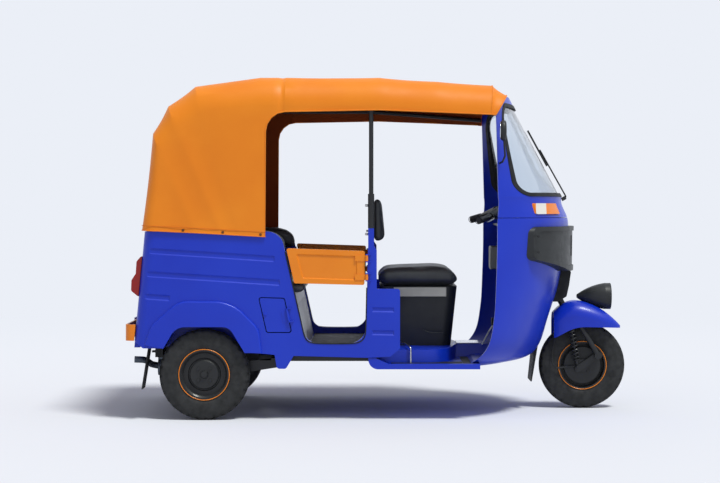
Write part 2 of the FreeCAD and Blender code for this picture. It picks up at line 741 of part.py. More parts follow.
pad(outline(new_sketch(plinth, "XY_Plane", "step_z - 5"), [
    (step_rear, "-plinth_half"), ("330", "-plinth_half", "150"), ("400", "-tunnel_half", "60"),
    ("400", "tunnel_half", "60"), ("330", "plinth_half", "150"), (step_rear, "plinth_half")]),
    "tunnel_z - step_z + 5")
hollowed(plinth, "600")


# Canopy hoops from front to rear: (foot x, foot z, top x, top z, corner radius)

canopy_half = "(body_half + cloth_gap + canopy_wall)"
HOOPS = [
    ("screen_top_door_x - 29", "rail_z - 64", "screen_top_nose - 33", "header_z - 4", "roof_round"),
    ("screen_top_door_x - 60", "rail_z - 78", "screen_top_door_x - 8", "roof_z - 41", "roof_round"),
    ("287", "rail_z - 78", "287", "roof_z - 21", "roof_round"),
    ("-17", "rail_z - 78", "-17", "roof_z", "roof_round"),
    ("hem_front_x + 38", "rail_z - 78", "hem_front_x + 38", "roof_z", "roof_round"),
    ("hem_front_x", "hem_front_z", "hem_front_x - 33", "roof_z", "roof_round"),
    ("hem_front_x - 122", "hem_front_z + 7", "hem_front_x - 369", "roof_z - 47", "roof_round - 10"),
    ("hem_front_x - 222", "hem_front_z + 13", "hem_front_x - 507", "roof_z - 150", "roof_round - 30"),
    ("hem_front_x - 352", "hem_front_z + 20", "hem_front_x - 583", "roof_z - 291", "roof_round - 55"),
    ("hem_front_x - 500", "hem_front_z + 27", "tub_tail_x - 14", "tub_top_z + 4", "corner_radius"),
]


def hoop_sketch(body, foot_x, foot_z, top_x, top_z, radius, filled=False):
    """Arch in a plane that leans from its foot to its top: the cloth's strip, or the room inside it."""
    hoop = new_sketch(body, "YZ_Plane", foot_x)
    hoop.AttachmentOffset = FreeCAD.Placement(V(), FreeCAD.Rotation(V(-1, 0, 0), 1))
    rise = f"sqrt((({top_x}) - ({foot_x}))^2 + (({top_z}) - ({foot_z}))^2)"
    bind(hoop, AttachmentOffset__Base__y=foot_z,
         AttachmentOffset__Rotation__Angle=f"atan2(({foot_x}) - ({top_x}); ({top_z}) - ({foot_z}))")
    within = "(canopy_wall + cloth_gap)" if filled else "canopy_wall"
    inner = f"({canopy_half} - {within})"
    inside = [(f"-{inner}", "0"), (f"-{inner}", f"{rise} - {within}", f"{radius} - {within}"),
              (inner, f"{rise} - {within}", f"{radius} - {within}"), (inner, "0")]
    outside = [(canopy_half, "0"), (canopy_half, rise, radius), (f"-{canopy_half}", rise, radius),
               (f"-{canopy_half}", "0")]
    return outline(hoop, inside if filled else outside + inside)


def canopy_loft(name, hoops, filled=False):
    """Ruled loft through the hoops, so that the cloth has a crease at each."""
    body = new_body(name)
    rings = [hoop_sketch(body, *hoop, filled=filled) for hoop in hoops]
    loft = body.newObject("PartDesign::AdditiveLoft", f"{name}_loft")
    loft.Profile = rings[0]
    loft.Sections = rings[1:]
    loft.Ruled = True
    return body


# Cowl and windscreen

COWL = [
    ("step_z - 20", "nose_x - 322", "cowl_door_x - 150", "body_half - 130"),
    ("step_z", "nose_x - 228", "cowl_door_x - 138", "body_half - 66"),
    ("step_z + 40", "nose_x - 172", "cowl_door_x - 84", "body_half - 26"),
    ("385", "nose_x - 140", "cowl_door_x - 44", "body_half - 8"),
    ("480", "nose_x - 112", "cowl_door_x - 22", "body_half"),
    ("563", "nose_x - 85", "cowl_door_x - 12", "body_half"),
    ("641", "nose_x - 60", "cowl_door_x - 8", "body_half"),
    ("745", "nose_x - 38", "cowl_door_x - 4", "body_half"),
    ("930", "nose_x - 4", "cowl_door_x", "body_half"),
    ("1040", "nose_x - 4", "cowl_door_x + 2", "body_half"),
    ("screen_base_z", "screen_base_nose", "cowl_door_x + 4", "body_half"),
]
SCREEN = [
    ("screen_base_z", "screen_base_nose", "cowl_door_x + 4", "body_half"),
    ("screen_top_z", "screen_top_nose", "screen_top_door_x", "body_half"),
]


def bow_radius(nose, door, half):
    """Radius of a plan arc through both door edges and the nose."""
    return f"((({half})^2 + (({nose}) - ({door}))^2) / (2 * (({nose}) - ({door}))))"


def curved_wall(name, levels, outer, inner=None, ruled=False):
    """Wall bowed in plan, between two distances outside the cowl's face; with no inner
    distance it is filled back to the door edges."""
    body = new_body(name)
    rings = []
    for height, nose, door, half in levels:
        ring = new_sketch(body, "XY_Plane", height)
        reach = f"({half}) + ({outer})"
        corners = [(door, f"-({reach})"), (door, reach)]
        bows = {0: (bow_radius(f"({nose}) + ({outer})", door, reach), -1)}
        if inner is not None:
            reach = f"({half}) + ({inner})"
            corners += [(door, reach), (door, f"-({reach})")]
            bows[2] = (bow_radius(f"({nose}) + ({inner})", door, reach), 1)
        rings.append(outline(ring, corners, bows))
    loft = body.newObject("PartDesign::AdditiveLoft", f"{name}_loft")
    loft.Profile = rings[0]
    loft.Sections = rings[1:]
    loft.Ruled = ruled
    return body


def screen_opening(grow="0"):
    return [
        (f"-(screen_half + ({grow}))", f"screen_base_z + screen_sill - ({grow})", f"85 + ({grow})"),
        (f"screen_half + ({grow})", f"screen_base_z + screen_sill - ({grow})", f"85 + ({grow})"),
        (f"screen_half + ({grow})", f"screen_head_z + ({grow})", f"110 + ({grow})"),
        (f"-(screen_half + ({grow}))", f"screen_head_z + ({grow})", f"110 + ({grow})"),
    ]


def front_prism(name, corners, near="cowl_door_x - 200", depth="700"):
    """Solid padded forward from a front outline."""
    body = new_body(name)
    pad(outline(new_sketch(body, "YZ_Plane", near), corners), depth)
    return body


cowl_shell = curved_wall("cowl_shell", COWL, "0", "-cowl_wall")
column_hole = new_body("column_hole")
bore = new_sketch(column_hole, "XY_Plane", "10")
pad(circles(bore, ("0", "0", "column_radius + 13")), "column_top - 250")


def steered(body):
    """Stand a piece on the steering axis: its own Z runs up the column."""
    body.Placement = FreeCAD.Placement(V(), FreeCAD.Rotation(V(0, -1, 0), 1))
    bind(body, Placement__Base__x="steer_x", Placement__Base__z="steer_z", Placement__Rotation__Angle="rake")
    return body


under_step = block("under_step", "1600", "3 * body_half", "100", "step_front_x + running_gap - 1600",
                   "-1.5 * body_half", "step_z + running_gap - 100")
above_seam = block("above_seam", "1600", "3 * body_half", "800", "0", "-1.5 * body_half", "seam_z")
node(cut("front_cowl", cowl_shell, joined("MultiFuse", "cowl_cuts", steered(column_hole), under_step, above_seam)))

toe_board = joined("MultiCommon", "toe_board", curved_wall("toe_wall", COWL, "-cowl_wall - running_gap"),
                   front_prism("toe_slab", [("-body_half", "step_z"), ("body_half", "step_z"),
                                            ("body_half", "step_z + 14"), ("-body_half", "step_z + 14")]))


def head_stay(radius):
    """Tube from the front of the frame up to the steering head."""
    low = point("tunnel_front_x - 28", 0, "floor_z - floor_gauge - 20")
    lean = math.radians(size("rake"))
    head = point("steer_x", 0, "steer_z") + V(-math.sin(lean), 0, math.cos(lean)) * 265
    return bent_tube([low, head], size(radius), 1)


stay_hole = solid_feature("stay_hole", head_stay("stay_radius + running_gap"))
floor_pieces = [step, tunnel, both_sides("step_lips", step_lip), plinth, toe_board]
node(cut("driver_floor", joined("MultiFuse", "driver_floor_whole", *floor_pieces), stay_hole))

screen_frame = curved_wall("screen_wall", SCREEN, "0", "-cowl_wall", ruled=True)
pocket(outline(new_sketch(screen_frame, "YZ_Plane", "0"), screen_opening()), through=True, middle=True)
trim = new_sketch(screen_frame, "YZ_Plane", "0")
outline(trim, [("-900", "screen_base_z - 50"), ("900", "screen_base_z - 50"), ("900", "roof_z + 200"),
               ("-900", "roof_z + 200")])
outline(trim, [("-(body_half + 20)", "screen_base_z - 20"), ("body_half + 20", "screen_base_z - 20"),
               ("body_half + 20", "screen_base_z + 20"), ("body_half", "screen_base_z + 20"),
               ("body_half", "header_z", "140"), ("-body_half", "header_z", "140"),
               ("-body_half", "screen_base_z + 20"), ("-(body_half + 20)", "screen_base_z + 20")])
pocket(trim, through=True, middle=True)
below_seam = block("below_seam", "1600", "3 * body_half", "800", "0", "-1.5 * body_half", "seam_z + seam_gap - 800")
brow = cut("brow", curved_wall("brow_wall", COWL, "0", "-cowl_wall"), below_seam)
head_plate = joined("MultiCommon", "head_plate", curved_wall("head_fill", SCREEN, "-4", ruled=True),
                    front_prism("head_slab", [("-500", "1638"), ("500", "1638"), ("500", "1650"), ("-500", "1650")]))


def hood_front_x(up):
    """X of the canopy's front edge at a height."""
    low_x, low_z, high_x, high_z, _ = HOOPS[0]
    return f"(({low_x}) + (({up}) - ({low_z})) * (({high_x}) - ({low_x})) / (({high_z}) - ({low_z})))"


behind_hood = side_plate("behind_hood", [
    ("300", "rail_z - 78"), (f"{hood_front_x('rail_z - 78')} + running_gap", "rail_z - 78"),
    (f"{hood_front_x('roof_z + 138')} + running_gap", "roof_z + 138"), ("300", "roof_z + 138"),
], "0", "3 * body_half", middle=True)
front_hoop = ("screen_top_door_x - 9", "rail_z - 64", "screen_top_nose - 13", "header_z - 19", "roof_round")
canopy_room = canopy_loft("canopy_room", [front_hoop] + HOOPS[:3], filled=True)
node(cut("windscreen_frame", joined("MultiFuse", "screen_frame_whole", screen_frame, brow, head_plate),
         cut("hood_clearance", behind_hood, canopy_room)))

seal = joined("MultiCommon", "windscreen_seal",
              curved_wall("seal_wall", SCREEN, "4", "-cowl_wall", ruled=True),
              cut("seal_ring", front_prism("seal_outer", screen_opening("-running_gap")),
                  front_prism("seal_inner", screen_opening("-seal_width"))))
node(seal)
node(joined("MultiCommon", "windscreen_glass",
            curved_wall("glass_wall", SCREEN, "-8", "-8 - glass_gauge", ruled=True),
            front_prism("glass_outline", screen_opening("-seal_width - running_gap"))))

MASK = [
    ("-535", "screen_base_z - 326", "36"), ("-230", "screen_base_z - 394", "50"),
    ("230", "screen_base_z - 394", "50"), ("535", "screen_base_z - 326", "36"),
    ("542", "screen_base_z - 156", "36"), ("-542", "screen_base_z - 156", "36"),
]
face = curved_wall("cowl_face", COWL, "running_gap")
MASK_FACE = [
    ("600", "nose_x + 18", "cowl_door_x", "body_half"), ("745", "nose_x + 22", "cowl_door_x", "body_half"),
    ("930", "nose_x + 25", "cowl_door_x", "body_half"), ("1040", "nose_x + 26", "cowl_door_x", "body_half"),
]
MASK_FIELD = [
    ("-512", "screen_base_z - 308", "22"), ("-240", "screen_base_z - 366", "30"),
    ("240", "screen_base_z - 366", "30"), ("512", "screen_base_z - 308", "22"),
    ("518", "screen_base_z - 180", "22"), ("-518", "screen_base_z - 180", "22"),
]
mask_block = joined("MultiCommon", "mask_block", curved_wall("mask_wall", MASK_FACE, "8"),
                    front_prism("mask_outline", MASK, "cowl_door_x + 60"))
mask_field = cut("mask_field", front_prism("mask_field_outline", MASK_FIELD, "cowl_door_x + 60"),
                 curved_wall("mask_floor", MASK_FACE, "1"))
mask_slit = block("mask_slit", "9", "2 * body_half", "110", "nose_x + 2", "-body_half", "830")
node(cut("front_mask", mask_block, joined("MultiFuse", "mask_cuts", face, mask_field, mask_slit)))
lamp_block = joined("MultiCommon", "indicator_block", curved_wall("indicator_wall", COWL, "9"),
                    joined("MultiFuse", "indicator_outlines", *[
                        front_prism(f"indicator_outline_{side}", [
                            (f"{sign} * 300", "screen_base_z - 90", "6"), (f"{sign} * 500", "screen_base_z - 90", "6"),
                            (f"{sign} * 500", "screen_base_z - 34", "6"), (f"{sign} * 300", "screen_base_z - 34", "6"),
                        ], "cowl_door_x + 60") for side, sign in (("right", "-1"), ("left", "1"))]))
node(cut("side_indicators", lamp_block, face))

nose_cover = side_plate("nose_cover", [
    ("900", "770"), ("1018", "752"), ("1024", "738", "8"), ("1014", "668", "10"), ("1000", "606", "10"),
    ("952", "578"), ("900", "578")], "0", "124", middle=True)
cover_bore = steered(new_body("cover_bore"))
pad(circles(new_sketch(cover_bore, "XY_Plane", "-60"), ("0", "0", "column_radius + 13")), "300")
node(cut("front_apron", nose_cover, joined("MultiFuse", "cover_cuts", face, cover_bore,
                                           front_prism("mask_room", MASK, "cowl_door_x + 60"))))

tray = joined("MultiCommon", "dash_tray", curved_wall("dash_wall", COWL, "-cowl_wall - running_gap"),
              front_prism("dash_slab", [
                  ("-body_half", "screen_base_z - 158"), ("body_half", "screen_base_z - 158"),
                  ("body_half", "screen_base_z - 146"), ("-body_half", "screen_base_z - 146")], "cowl_door_x + 54"))
dash_box = front_prism("dash_box", [
    ("-80", "screen_base_z - 391", "12"), ("80", "screen_base_z - 391", "12"),
    ("80", "screen_base_z - 266", "12"), ("-80", "screen_base_z - 266", "12")], "cowl_door_x + 2", "64")
dash_stem = front_prism("dash_stem", [
    ("-60", "screen_base_z - 280"), ("60", "screen_base_z - 280"), ("60", "screen_base_z - 157"),
    ("-60", "screen_base_z - 157")], "cowl_door_x + 54", "14")
dash_hole = steered(new_body("dash_hole"))
pad(circles(new_sketch(dash_hole, "XY_Plane", "300"), ("0", "0", "column_radius + 15")), "270")
node(cut("dashboard", joined("MultiFuse", "dash_whole", tray, dash_box, dash_stem), dash_hole))


# Canopy

opening = side_plate("canopy_side_opening", [
    ("hem_front_x", "hem_front_z - 80"), ("hem_front_x", "rail_z", "100"), ("post_x", "rail_z + 12"),
    ("screen_top_door_x - 24", "rail_z - 12"), ("screen_top_nose + 80", "rail_z - 12"),
    ("screen_top_nose + 80", "hem_front_z - 80"),
], "0", "3 * body_half", middle=True)
node(cut("canopy", canopy_loft("canopy_skin", HOOPS), opening))


def bow(foot_x, foot_z, top_x, top_z, radius, drop="0"):
    """Steel bow that stands on the tub and follows the cloth's corners inside it."""
    foot, top = point(foot_x, 0, foot_z), point(top_x, 0, top_z)
    along = (top - foot).normalize()
    clear = size(f"{canopy_half} - body_half + wall / 2")
    low = foot + along * ((size("tub_top_z - 30") - foot.z) / along.z)
    high = top - along * (clear + size(drop))
    side = V(0, size("body_half - wall / 2"), 0)
    return bent_tube([low - side, high - side, high + side, low + side], size("bow_radius"), size(radius) - clear)


rear_edge_bow = ("hem_front_x - 85", "hem_front_z + 4", "hem_front_x - 95", "roof_z - 9", "roof_round", "12")


def canopy_frame():
    """Bows, cant rails, rear straps and the bars behind the driver, welded together."""
    side = size("body_half - wall / 2")
    pieces = [bow(*rear_edge_bow), *[bow(*hoop) for hoop in HOOPS[6:8]], bow(*HOOPS[8], drop="14")]
    tub = Part.makeBox(3000, 2000, size("tub_top_z"), V(-2000, -1000, 0))
    pieces = [piece.cut(tub) for piece in pieces]
    x, foot, round_off = size("post_x"), size("post_top_z"), size(f"roof_round - {canopy_half} + body_half - wall / 2")
    top = size(f"roof_z - 6 - {canopy_half} + body_half - wall / 2")
    pieces.append(bent_tube([V(x, -side, foot), V(x, -side, top), V(x, side, top), V(x, side, foot)],
                            size("bow_radius"), round_off))
    for hand in (-1, 1):
        inset = V(0, hand * (side - 16), 0)
        rear = point("hem_front_x - 90", 0, "rail_z + 62") + inset
        waist = point("post_x", 0, "rail_z + 62") + inset
        front = point("screen_top_door_x - running_gap", 0, "rail_z + 12") + V(0, hand * (side - 10), 0)
        pieces.append(bent_tube([rear, waist, front], size("bow_radius"), 900))
        strap = V(0, hand * (side - 14), size("tub_top_z + 19"))
        pieces.append(bent_tube([V(-960, 0, 0) + strap, V(-676, 0, 0) + strap], 6, 1))
        pieces.append(Part.makeCylinder(size("bow_radius + 5"), 176, V(x, hand * side, foot)))
    reach = size("body_half - wall - running_gap")
    for height in (950, 1099):
        pieces.append(Part.makeCylinder(8, 2 * reach, V(x, -reach, height), V(0, 1, 0)))
    for hand in (-1, 1):
        pieces.append(Part.makeCylinder(8, 149, V(x, hand * 200, 950)))
    return pieces[0].multiFuse(pieces[1:]).removeSplitter()


node(solid_feature("canopy_frame", canopy_frame()))


# Chassis, running gear and engine

def rail(name, x, length, y, half="rail_half"):
    return block(name, length, f"2 * ({half})", "rail_height", x, f"({y}) - ({half})",
                 "floor_z - floor_gauge - rail_height")


chassis = []
for side, sign in (("right", "-1"), ("left", "1")):
    chassis.append(rail(f"main_rail_{side}", "arm_pivot_x - 65", "tunnel_front_x - arm_pivot_x + 60", f"{sign} * rail_y"))
    chassis.append(rail(f"rear_rail_{side}", "tub_tail_x + 20", "arm_pivot_x - tub_tail_x - 40", f"{sign} * rear_rail_y"))
    chassis.append(rail(f"sill_rail_{side}", "arm_pivot_x + 30", "post_x - arm_pivot_x - 50", f"{sign} * 560"))
    chassis.append(block(f"pivot_bracket_{side}", "60", "12", "80", "arm_pivot_x - 50",
                         f"{sign} * 446 - 6", "floor_z - floor_gauge - 80"))
for name, x, reach in (("rear_cross", "tub_tail_x + 25", "340"), ("pivot_cross", "arm_pivot_x - 65", "452"),
                       ("post_cross", "post_x - 60", "582"), ("front_cross", "tunnel_front_x - 45", "rail_y")):
    chassis.append(block(name, "40", f"2 * ({reach})", "rail_height", x, f"-({reach})",
                         "floor_z - floor_gauge - rail_height"))
for side, sign in (("right", "-1"), ("left", "1")):
    chassis.append(block(f"outrigger_{side}", "30", "140", "rail_height", "arm_pivot_x + 30", f"{sign} * 512 - 70",
                         "floor_z - floor_gauge - rail_height"))
    chassis.append(block(f"outrigger_stay_{side}", "100", "12", "rail_height", "arm_pivot_x - 40",
                         f"{sign} * 446 - 6", "floor_z - floor_gauge - rail_height"))
head_tube = steered(new_body("head_tube"))
pad(circles(new_sketch(head_tube, "XY_Plane", "190"), ("0", "0", "column_radius + 8")), "150")


chassis.append(block("tow_lug", "70", "50", "10", "tub_tail_x - 30", "-25", "floor_z - floor_gauge - rail_height"))
head_bore = steered(new_body("head_bore"))
pad(circles(new_sketch(head_bore, "XY_Plane", "150"), ("0", "0", "column_radius + running_gap")), "230")
tow_bore = bar("tow_bore", "tow_radius", "30", "tub_tail_x - 5", "0", "floor_z - floor_gauge - rail_height - 10")
chassis += [head_tube, solid_feature("head_stay", head_stay("stay_radius"))]
node(cut("chassis_frame", joined("MultiFuse", "chassis_whole", *chassis),
         joined("MultiFuse", "chassis_bores", head_bore, tow_bore)))

arm = side_plate("arm_plate", [
    ("arm_pivot_x + 22", "arm_pivot_z + 24", "20"), ("arm_pivot_x + 22", "arm_pivot_z - 24", "20"),
    ("rear_axle_x - 36", "tyre_radius - 34", "30"), ("rear_axle_x - 36", "tyre_radius + 34", "30"),
], "arm_inner_y", "arm_depth")
pad(circles(new_sketch(arm, "XZ_Plane", "452 + running_gap"), ("arm_pivot_x", "arm_pivot_z", "16")),
    "body_half - wall - 452 - 2 * running_gap")
pad(circles(new_sketch(arm, "XZ_Plane", "arm_inner_y"), ("rear_axle_x", "tyre_radius", "axle_radius - running_gap")),
    "track / 2 + hub_boss_reach - 4 - arm_inner_y")
pad(circles(new_sketch(arm, "XZ_Plane", "damper_y - 30"), ("damper_x", "tyre_radius + 12", "9")),
    "arm_inner_y - damper_y + 31")
node(both_sides("trailing_arms", arm))


def coil_profile(low, high, coil_low, coil_high, rod, coil, turns):
    """Half section of a damper with a spring drawn as rounded rings."""
    pitch = (coil_high - coil_low) / turns
    corners = [("0", str(low)), (str(rod), str(low)), (str(rod), str(coil_low))]
    for turn in range(turns):
        base = coil_low + turn * pitch
        corners += [(str(coil), f"{base + pitch * 0.2:.1f}"), (str(coil), f"{base + pitch * 0.6:.1f}"),
                    (str(coil - 9), f"{base + pitch * 0.8:.1f}"), (str(coil - 9), f"{base + pitch:.1f}")]
    return corners + [(str(rod), str(coil_high)), (str(rod), str(high)), ("0", str(high))]


damper = new_body("rear_damper")
top = size("bench_base_z - 16 - running_gap - tyre_radius - 12")
revolve(outline(new_sketch(damper, "XZ_Plane"), coil_profile(10, top, 70, top - 30, 12, 32, 7)), "V_Axis")
place(damper, "damper_x", "-damper_y", "tyre_radius + 12")
damper_eye = bar("rear_damper_eye", "18", "40", "damper_x", "-(damper_y + 20)", "tyre_radius + 12", V(0, 1, 0))
damper_bore = bar("rear_damper_bore", "9.3", "60", "damper_x", "-(damper_y + 30)", "tyre_radius + 12", V(0, 1, 0))
node(both_sides("rear_dampers", cut("damper_cut", joined("MultiFuse", "damper_whole", damper, damper_eye), damper_bore)))

engine = [block("engine_case", "352", "2 * (rear_rail_y - rail_half - running_gap)", "300",
                "rear_axle_x - 237", "-(rear_rail_y - rail_half - running_gap)", "tyre_radius - 30")]
for side, sign in (("right", "-1"), ("left", "1")):
    start = "-(arm_inner_y - running_gap)" if side == "right" else "100"
    engine.append(bar(f"half_shaft_{side}", "12", "arm_inner_y - running_gap - 100", "rear_axle_x", start,
                      "tyre_radius", V(0, 1, 0)))
node(joined("MultiFuse", "engine_block", *engine))


def exhaust():
    """Silencer beside the engine and the pipe that leaves behind the right rear wheel."""
    can = Part.makeCylinder(44, 230, point("rear_axle_x - 270", -295, 246), V(1, 0, 0))
    header = bent_tube([V(-960, -295, 268), V(-870, -295, 268), V(-870, -195, 268)], 14, 30)
    strap = Part.makeBox(24, 30, size("floor_z - floor_gauge - rail_height") - 270, V(-1184, -310, 270))
    pipe = bent_tube([V(-1150, -295, 246), V(-1215, -330, 262), V(-1235, -450, 296), V(-1290, -452, 298)], 17, 26)
    return can.multiFuse([pipe, header, strap]).removeSplitter()


node(solid_feature("exhaust", exhaust()))


# Rear fittings

tail_block = side_plate("tail_block", [
    (f"{tail_x('tub_top_z + 100')} - running_gap", "tub_top_z + 100"), (f"{tail_x('200')} - running_gap", "200"),
    ("0", "200"), ("0", "tub_top_z + 100")], "0", "3 * body_half", middle=True)
bumper = new_body("bumper_bar")
pad(outline(new_sketch(bumper, "XY_Plane", "406"), [
    ("-1240", "-(body_half - 28)"), ("-1320", "-(body_half - 28)", "40"), ("-1320", "body_half - 28", "40"),
    ("-1240", "body_half - 28"), ("-1240", "body_half - 38"), ("-1310", "body_half - 38", "30"),
    ("-1310", "-(body_half - 38)", "30"), ("-1240", "-(body_half - 38)")]), "83")
plate_holes = new_body("plate_holes")
pad(circles(new_sketch(plate_holes, "YZ_Plane", "-1330"), ("-plate_spacing / 2", "447", "plate_hole_radius"),
            ("plate_spacing / 2", "447", "plate_hole_radius")), "60")
irons = [block(f"bumper_iron_{side}", "80", "24", "30", "-1312", y, "432") for side, y in (("right", "-360"), ("left", "336"))]
node(cut("rear_bumper", joined("MultiFuse", "bumper_whole", bumper, *irons),
         joined("MultiFuse", "bumper_cuts", tail_block, plate_holes)))

lamp = side_plate("tail_lamp_block", [
    ("-1200", "838"), ("-1240", "838", "10"), ("-1262", "812", "12"), ("-1266", "750"), ("-1288", "716", "8"),
    ("-1290", "662", "14"), ("-1256", "634", "10"), ("-1200", "634")], "body_half - 118", "76")
node(cut("tail_lamps", both_sides("tail_lamp_pair", lamp), tail_block))

flap = side_plate("rear_flap", [
    ("-1199", "tub_bottom_z - running_gap"), ("-1193", "tub_bottom_z - running_gap"), ("-1226", "160"), ("-1232", "160")],
    "body_half - 120", "116")
front_flap = side_plate("front_flap_block", [
    ("822", "340"), ("840", "340"), ("808", "150"), ("802", "150")], "0", "210", middle=True)
node(joined("Compound", "mudflaps", both_sides("rear_flaps", flap), cut("front_flap", front_flap, face)))


# Half doors

def make_door(name):
    """Pressed panel with a sunken field and two knuckles on its front edge."""
    body = side_plate(f"{name}_panel", [
        ("-492", "881", "10"), ("-451", "702", "10"), ("post_x - 34", "693", "10"), ("post_x - 32", "867", "10")],
        "body_half - wall", "wall")
    field = pocket(outline(new_sketch(body, "XZ_Plane", "body_half"), [
        ("-442", "853", "10"), ("-408", "727", "10"), ("-130", "717", "10"), ("-130", "842", "10")]), "5")
    field.TaperAngle = -40
    return joined("MultiFuse", name, body, *[knuckle for knuckle, _ in door_hinges])


half_door = node(make_door("half_door_right"))
node(mirrored(half_door, "half_door_left"))


# Steering

def make_fork():
    """Column, crown and the single leg on the right of the wheel."""
    rake = math.radians(size("rake"))
    down = V(math.sin(rake), 0, -math.cos(rake))
    head = point("steer_x", 0, "steer_z")
    side = V(0, -size("leg_y"), 0)
    crown = head + down * 70
    knee = point("steer_x + 72", 0, "steer_z - 86") + side
    foot = point("pivot_x", 0, "pivot_z") + side
    leg = bent_tube([head, crown, knee, foot], size("leg_radius"), 34)
    tube = Part.makeCylinder(size("column_radius"), size("column_top") + 50, head + down * 50, down * -1)
    spring_seat = bent_tube([knee + V(-50, 0, -10), knee + V(4, 0, 0)], 11, 1)
    boss = Part.makeCylinder(20, 26, foot + V(0, 13, 0), V(0, -1, 0))
    pin = Part.makeCylinder(7, 34, foot + V(0, 34, 0), V(0, -1, 0))
    return tube.multiFuse([leg, spring_seat, boss, pin]).removeSplitter()


node(solid_feature("steering_fork", make_fork()))

link_slope = "atan2(pivot_z - tyre_radius; pivot_x - rear_axle_x - wheel_base)"
link_length = "sqrt((pivot_z - tyre_radius)^2 + (pivot_x - rear_axle_x - wheel_base)^2)"
link = new_body("link_plate")
link_sketch = new_sketch(link, "XZ_Plane", "tyre_width / 2 + 5")
outline(link_sketch, [("-48", "-17", "15"), (f"{link_length} + 19", "-17", "15"),
                      (f"{link_length} + 19", "17", "15"), ("-48", "17", "15")])
circles(link_sketch, (link_length, "0", "7 + running_gap"))
pad(link_sketch, "14")
pad(circles(new_sketch(link, "XZ_Plane", "drum_half + 1"), ("0", "0", "front_drum_radius + 4")), "7")
pad(circles(new_sketch(link, "XZ_Plane", "drum_half + 1"), ("0", "0", "34")), "tyre_width / 2 + 5 - drum_half")
pad(circles(new_sketch(link, "XZ_Plane", "-(drum_half + 24)"), ("0", "0", "axle_radius - running_gap")),
    "2 * drum_half + 30")
link.Placement = FreeCAD.Placement(V(), FreeCAD.Rotation(V(0, -1, 0), 1))
bind(link, Placement__Rotation__Angle=link_slope)
place(link, "rear_axle_x + wheel_base", "0", "tyre_radius")
spring_foot = ("rear_axle_x + wheel_base - 30", "tyre_radius - 4")
eye_pin = bar("front_damper_pin", "7", "30", spring_foot[0], "-(tyre_width / 2 + 5 + 40)", spring_foot[1], V(0, 1, 0))
lever_root, lever_end = V(1045, -67, 231), V(948, -67, 219)
brake_lever = solid_feature("brake_lever", bent_tube([lever_root, lever_end], 4.5, 1))
node(joined("MultiFuse", "trailing_link", link, eye_pin, brake_lever))


def brake_cable():
    """Outer cable from the fork's crown down behind the wheel to the brake lever."""
    route = [V(1022, -42, 486), V(975, -64, 462), V(940, -67, 395), V(920, -67, 300), V(922, -67, 245), lever_end]
    cable = bent_tube(route, 3, 12).cut(make_fork()).cut(brake_lever.Shape)
    return max(cable.Solids, key=lambda solid: solid.Volume)


doc.recompute()
node(solid_feature("brake_cable", brake_cable()))

front_damper = new_body("front_damper_rod")
front_damper.Placement = FreeCAD.Placement(V(), FreeCAD.Rotation(V(0, -1, 0), 1))
revolve(outline(new_sketch(front_damper, "XZ_Plane"), coil_profile(8, 237, 36, 200, 8, 23, 7)), "V_Axis")
bind(front_damper, Placement__Rotation__Angle="9.5")
place(front_damper, spring_foot[0], "-leg_y", spring_foot[1])
eye = bar("front_damper_eye", "13", "20", spring_foot[0], "-(leg_y + 10)", spring_foot[1], V(0, 1, 0))
eye_bore = bar("front_damper_bore", "7.3", "40", spring_foot[0], "-(leg_y + 20)", spring_foot[1], V(0, 1, 0))
node(cut("front_damper", joined("MultiFuse", "front_damper_whole", front_damper, eye), eye_bore))

FENDER = [
    ("steer_x - 50", "384", "520", "fender_half - 27", "60"),
    ("steer_x + 5", "411", "566", "fender_half - 8", "80"),
    ("steer_x + 65", "437", "583", "fender_half", "86"),
    ("steer_x + 137", "443", "571", "fender_half", "84"),
    ("steer_x + 215", "441", "534", "fender_half - 8", "66"),
    ("steer_x + 278", "438", "484", "fender_half - 32", "30"),
    ("steer_x + 312", "436", "450", "fender_half - 66", "8"),
]


def fender_loft(name, gauge=None):
    """Loft through the arch-shaped sections, hollow when a gauge is given."""
    body = new_body(name)
    rings = []
    for x, low, high, half, radius in FENDER:
        corners = [(half, low), (half, high, radius), (f"-({half})", high, radius), (f"-({half})", low)]
        if gauge:
            corners += [(f"-({half} - {gauge})", low),
                        (f"-({half} - {gauge})", f"{high} - {gauge}", f"{radius} - {gauge}"),
                        (f"{half} - {gauge}", f"{high} - {gauge}", f"{radius} - {gauge}"), (f"{half} - {gauge}", low)]
        rings.append(outline(new_sketch(body, "YZ_Plane", x), corners))
    loft = body.newObject("PartDesign::AdditiveLoft", f"{name}_loft")
    loft.Profile = rings[0]
    loft.Sections = rings[1:]
    return body


fender_hole = steered(new_body("fender_hole"))
pad(circles(new_sketch(fender_hole, "XY_Plane", "-90"), ("0", "0", "column_radius + running_gap")), "140")
node(cut("front_fender", fender_loft("fender_skin", "fender_gauge"), fender_hole))

lamp_x, lamp_z = "steer_x + 262", "606"
shell = new_body("lamp_bowl")
revolve(outline(new_sketch(shell, "XZ_Plane"), [
    ("-183", "0"), ("-181", "9"), ("-30", "lamp_radius"), ("0", "lamp_radius"), ("0", "lamp_radius - 3"),
    ("-31", "lamp_radius - 3"), ("-176", "8"), ("-177", "0")], {1: ("330", 1), 5: ("330", -1)}), "H_Axis")
place(shell, lamp_x, "0", lamp_z)
node(cut("headlamp_shell", shell, fender_loft("fender_core")))
lens = new_body("headlamp_lens")
revolve(outline(new_sketch(lens, "XZ_Plane"), [
    ("-10", "0"), ("-10", "lamp_radius - 3 - running_gap"), ("-2", "lamp_radius - 3 - running_gap"), ("7", "0")],
    {2: ("250", 1)}), "H_Axis")
node(place(lens, lamp_x, "0", lamp_z))


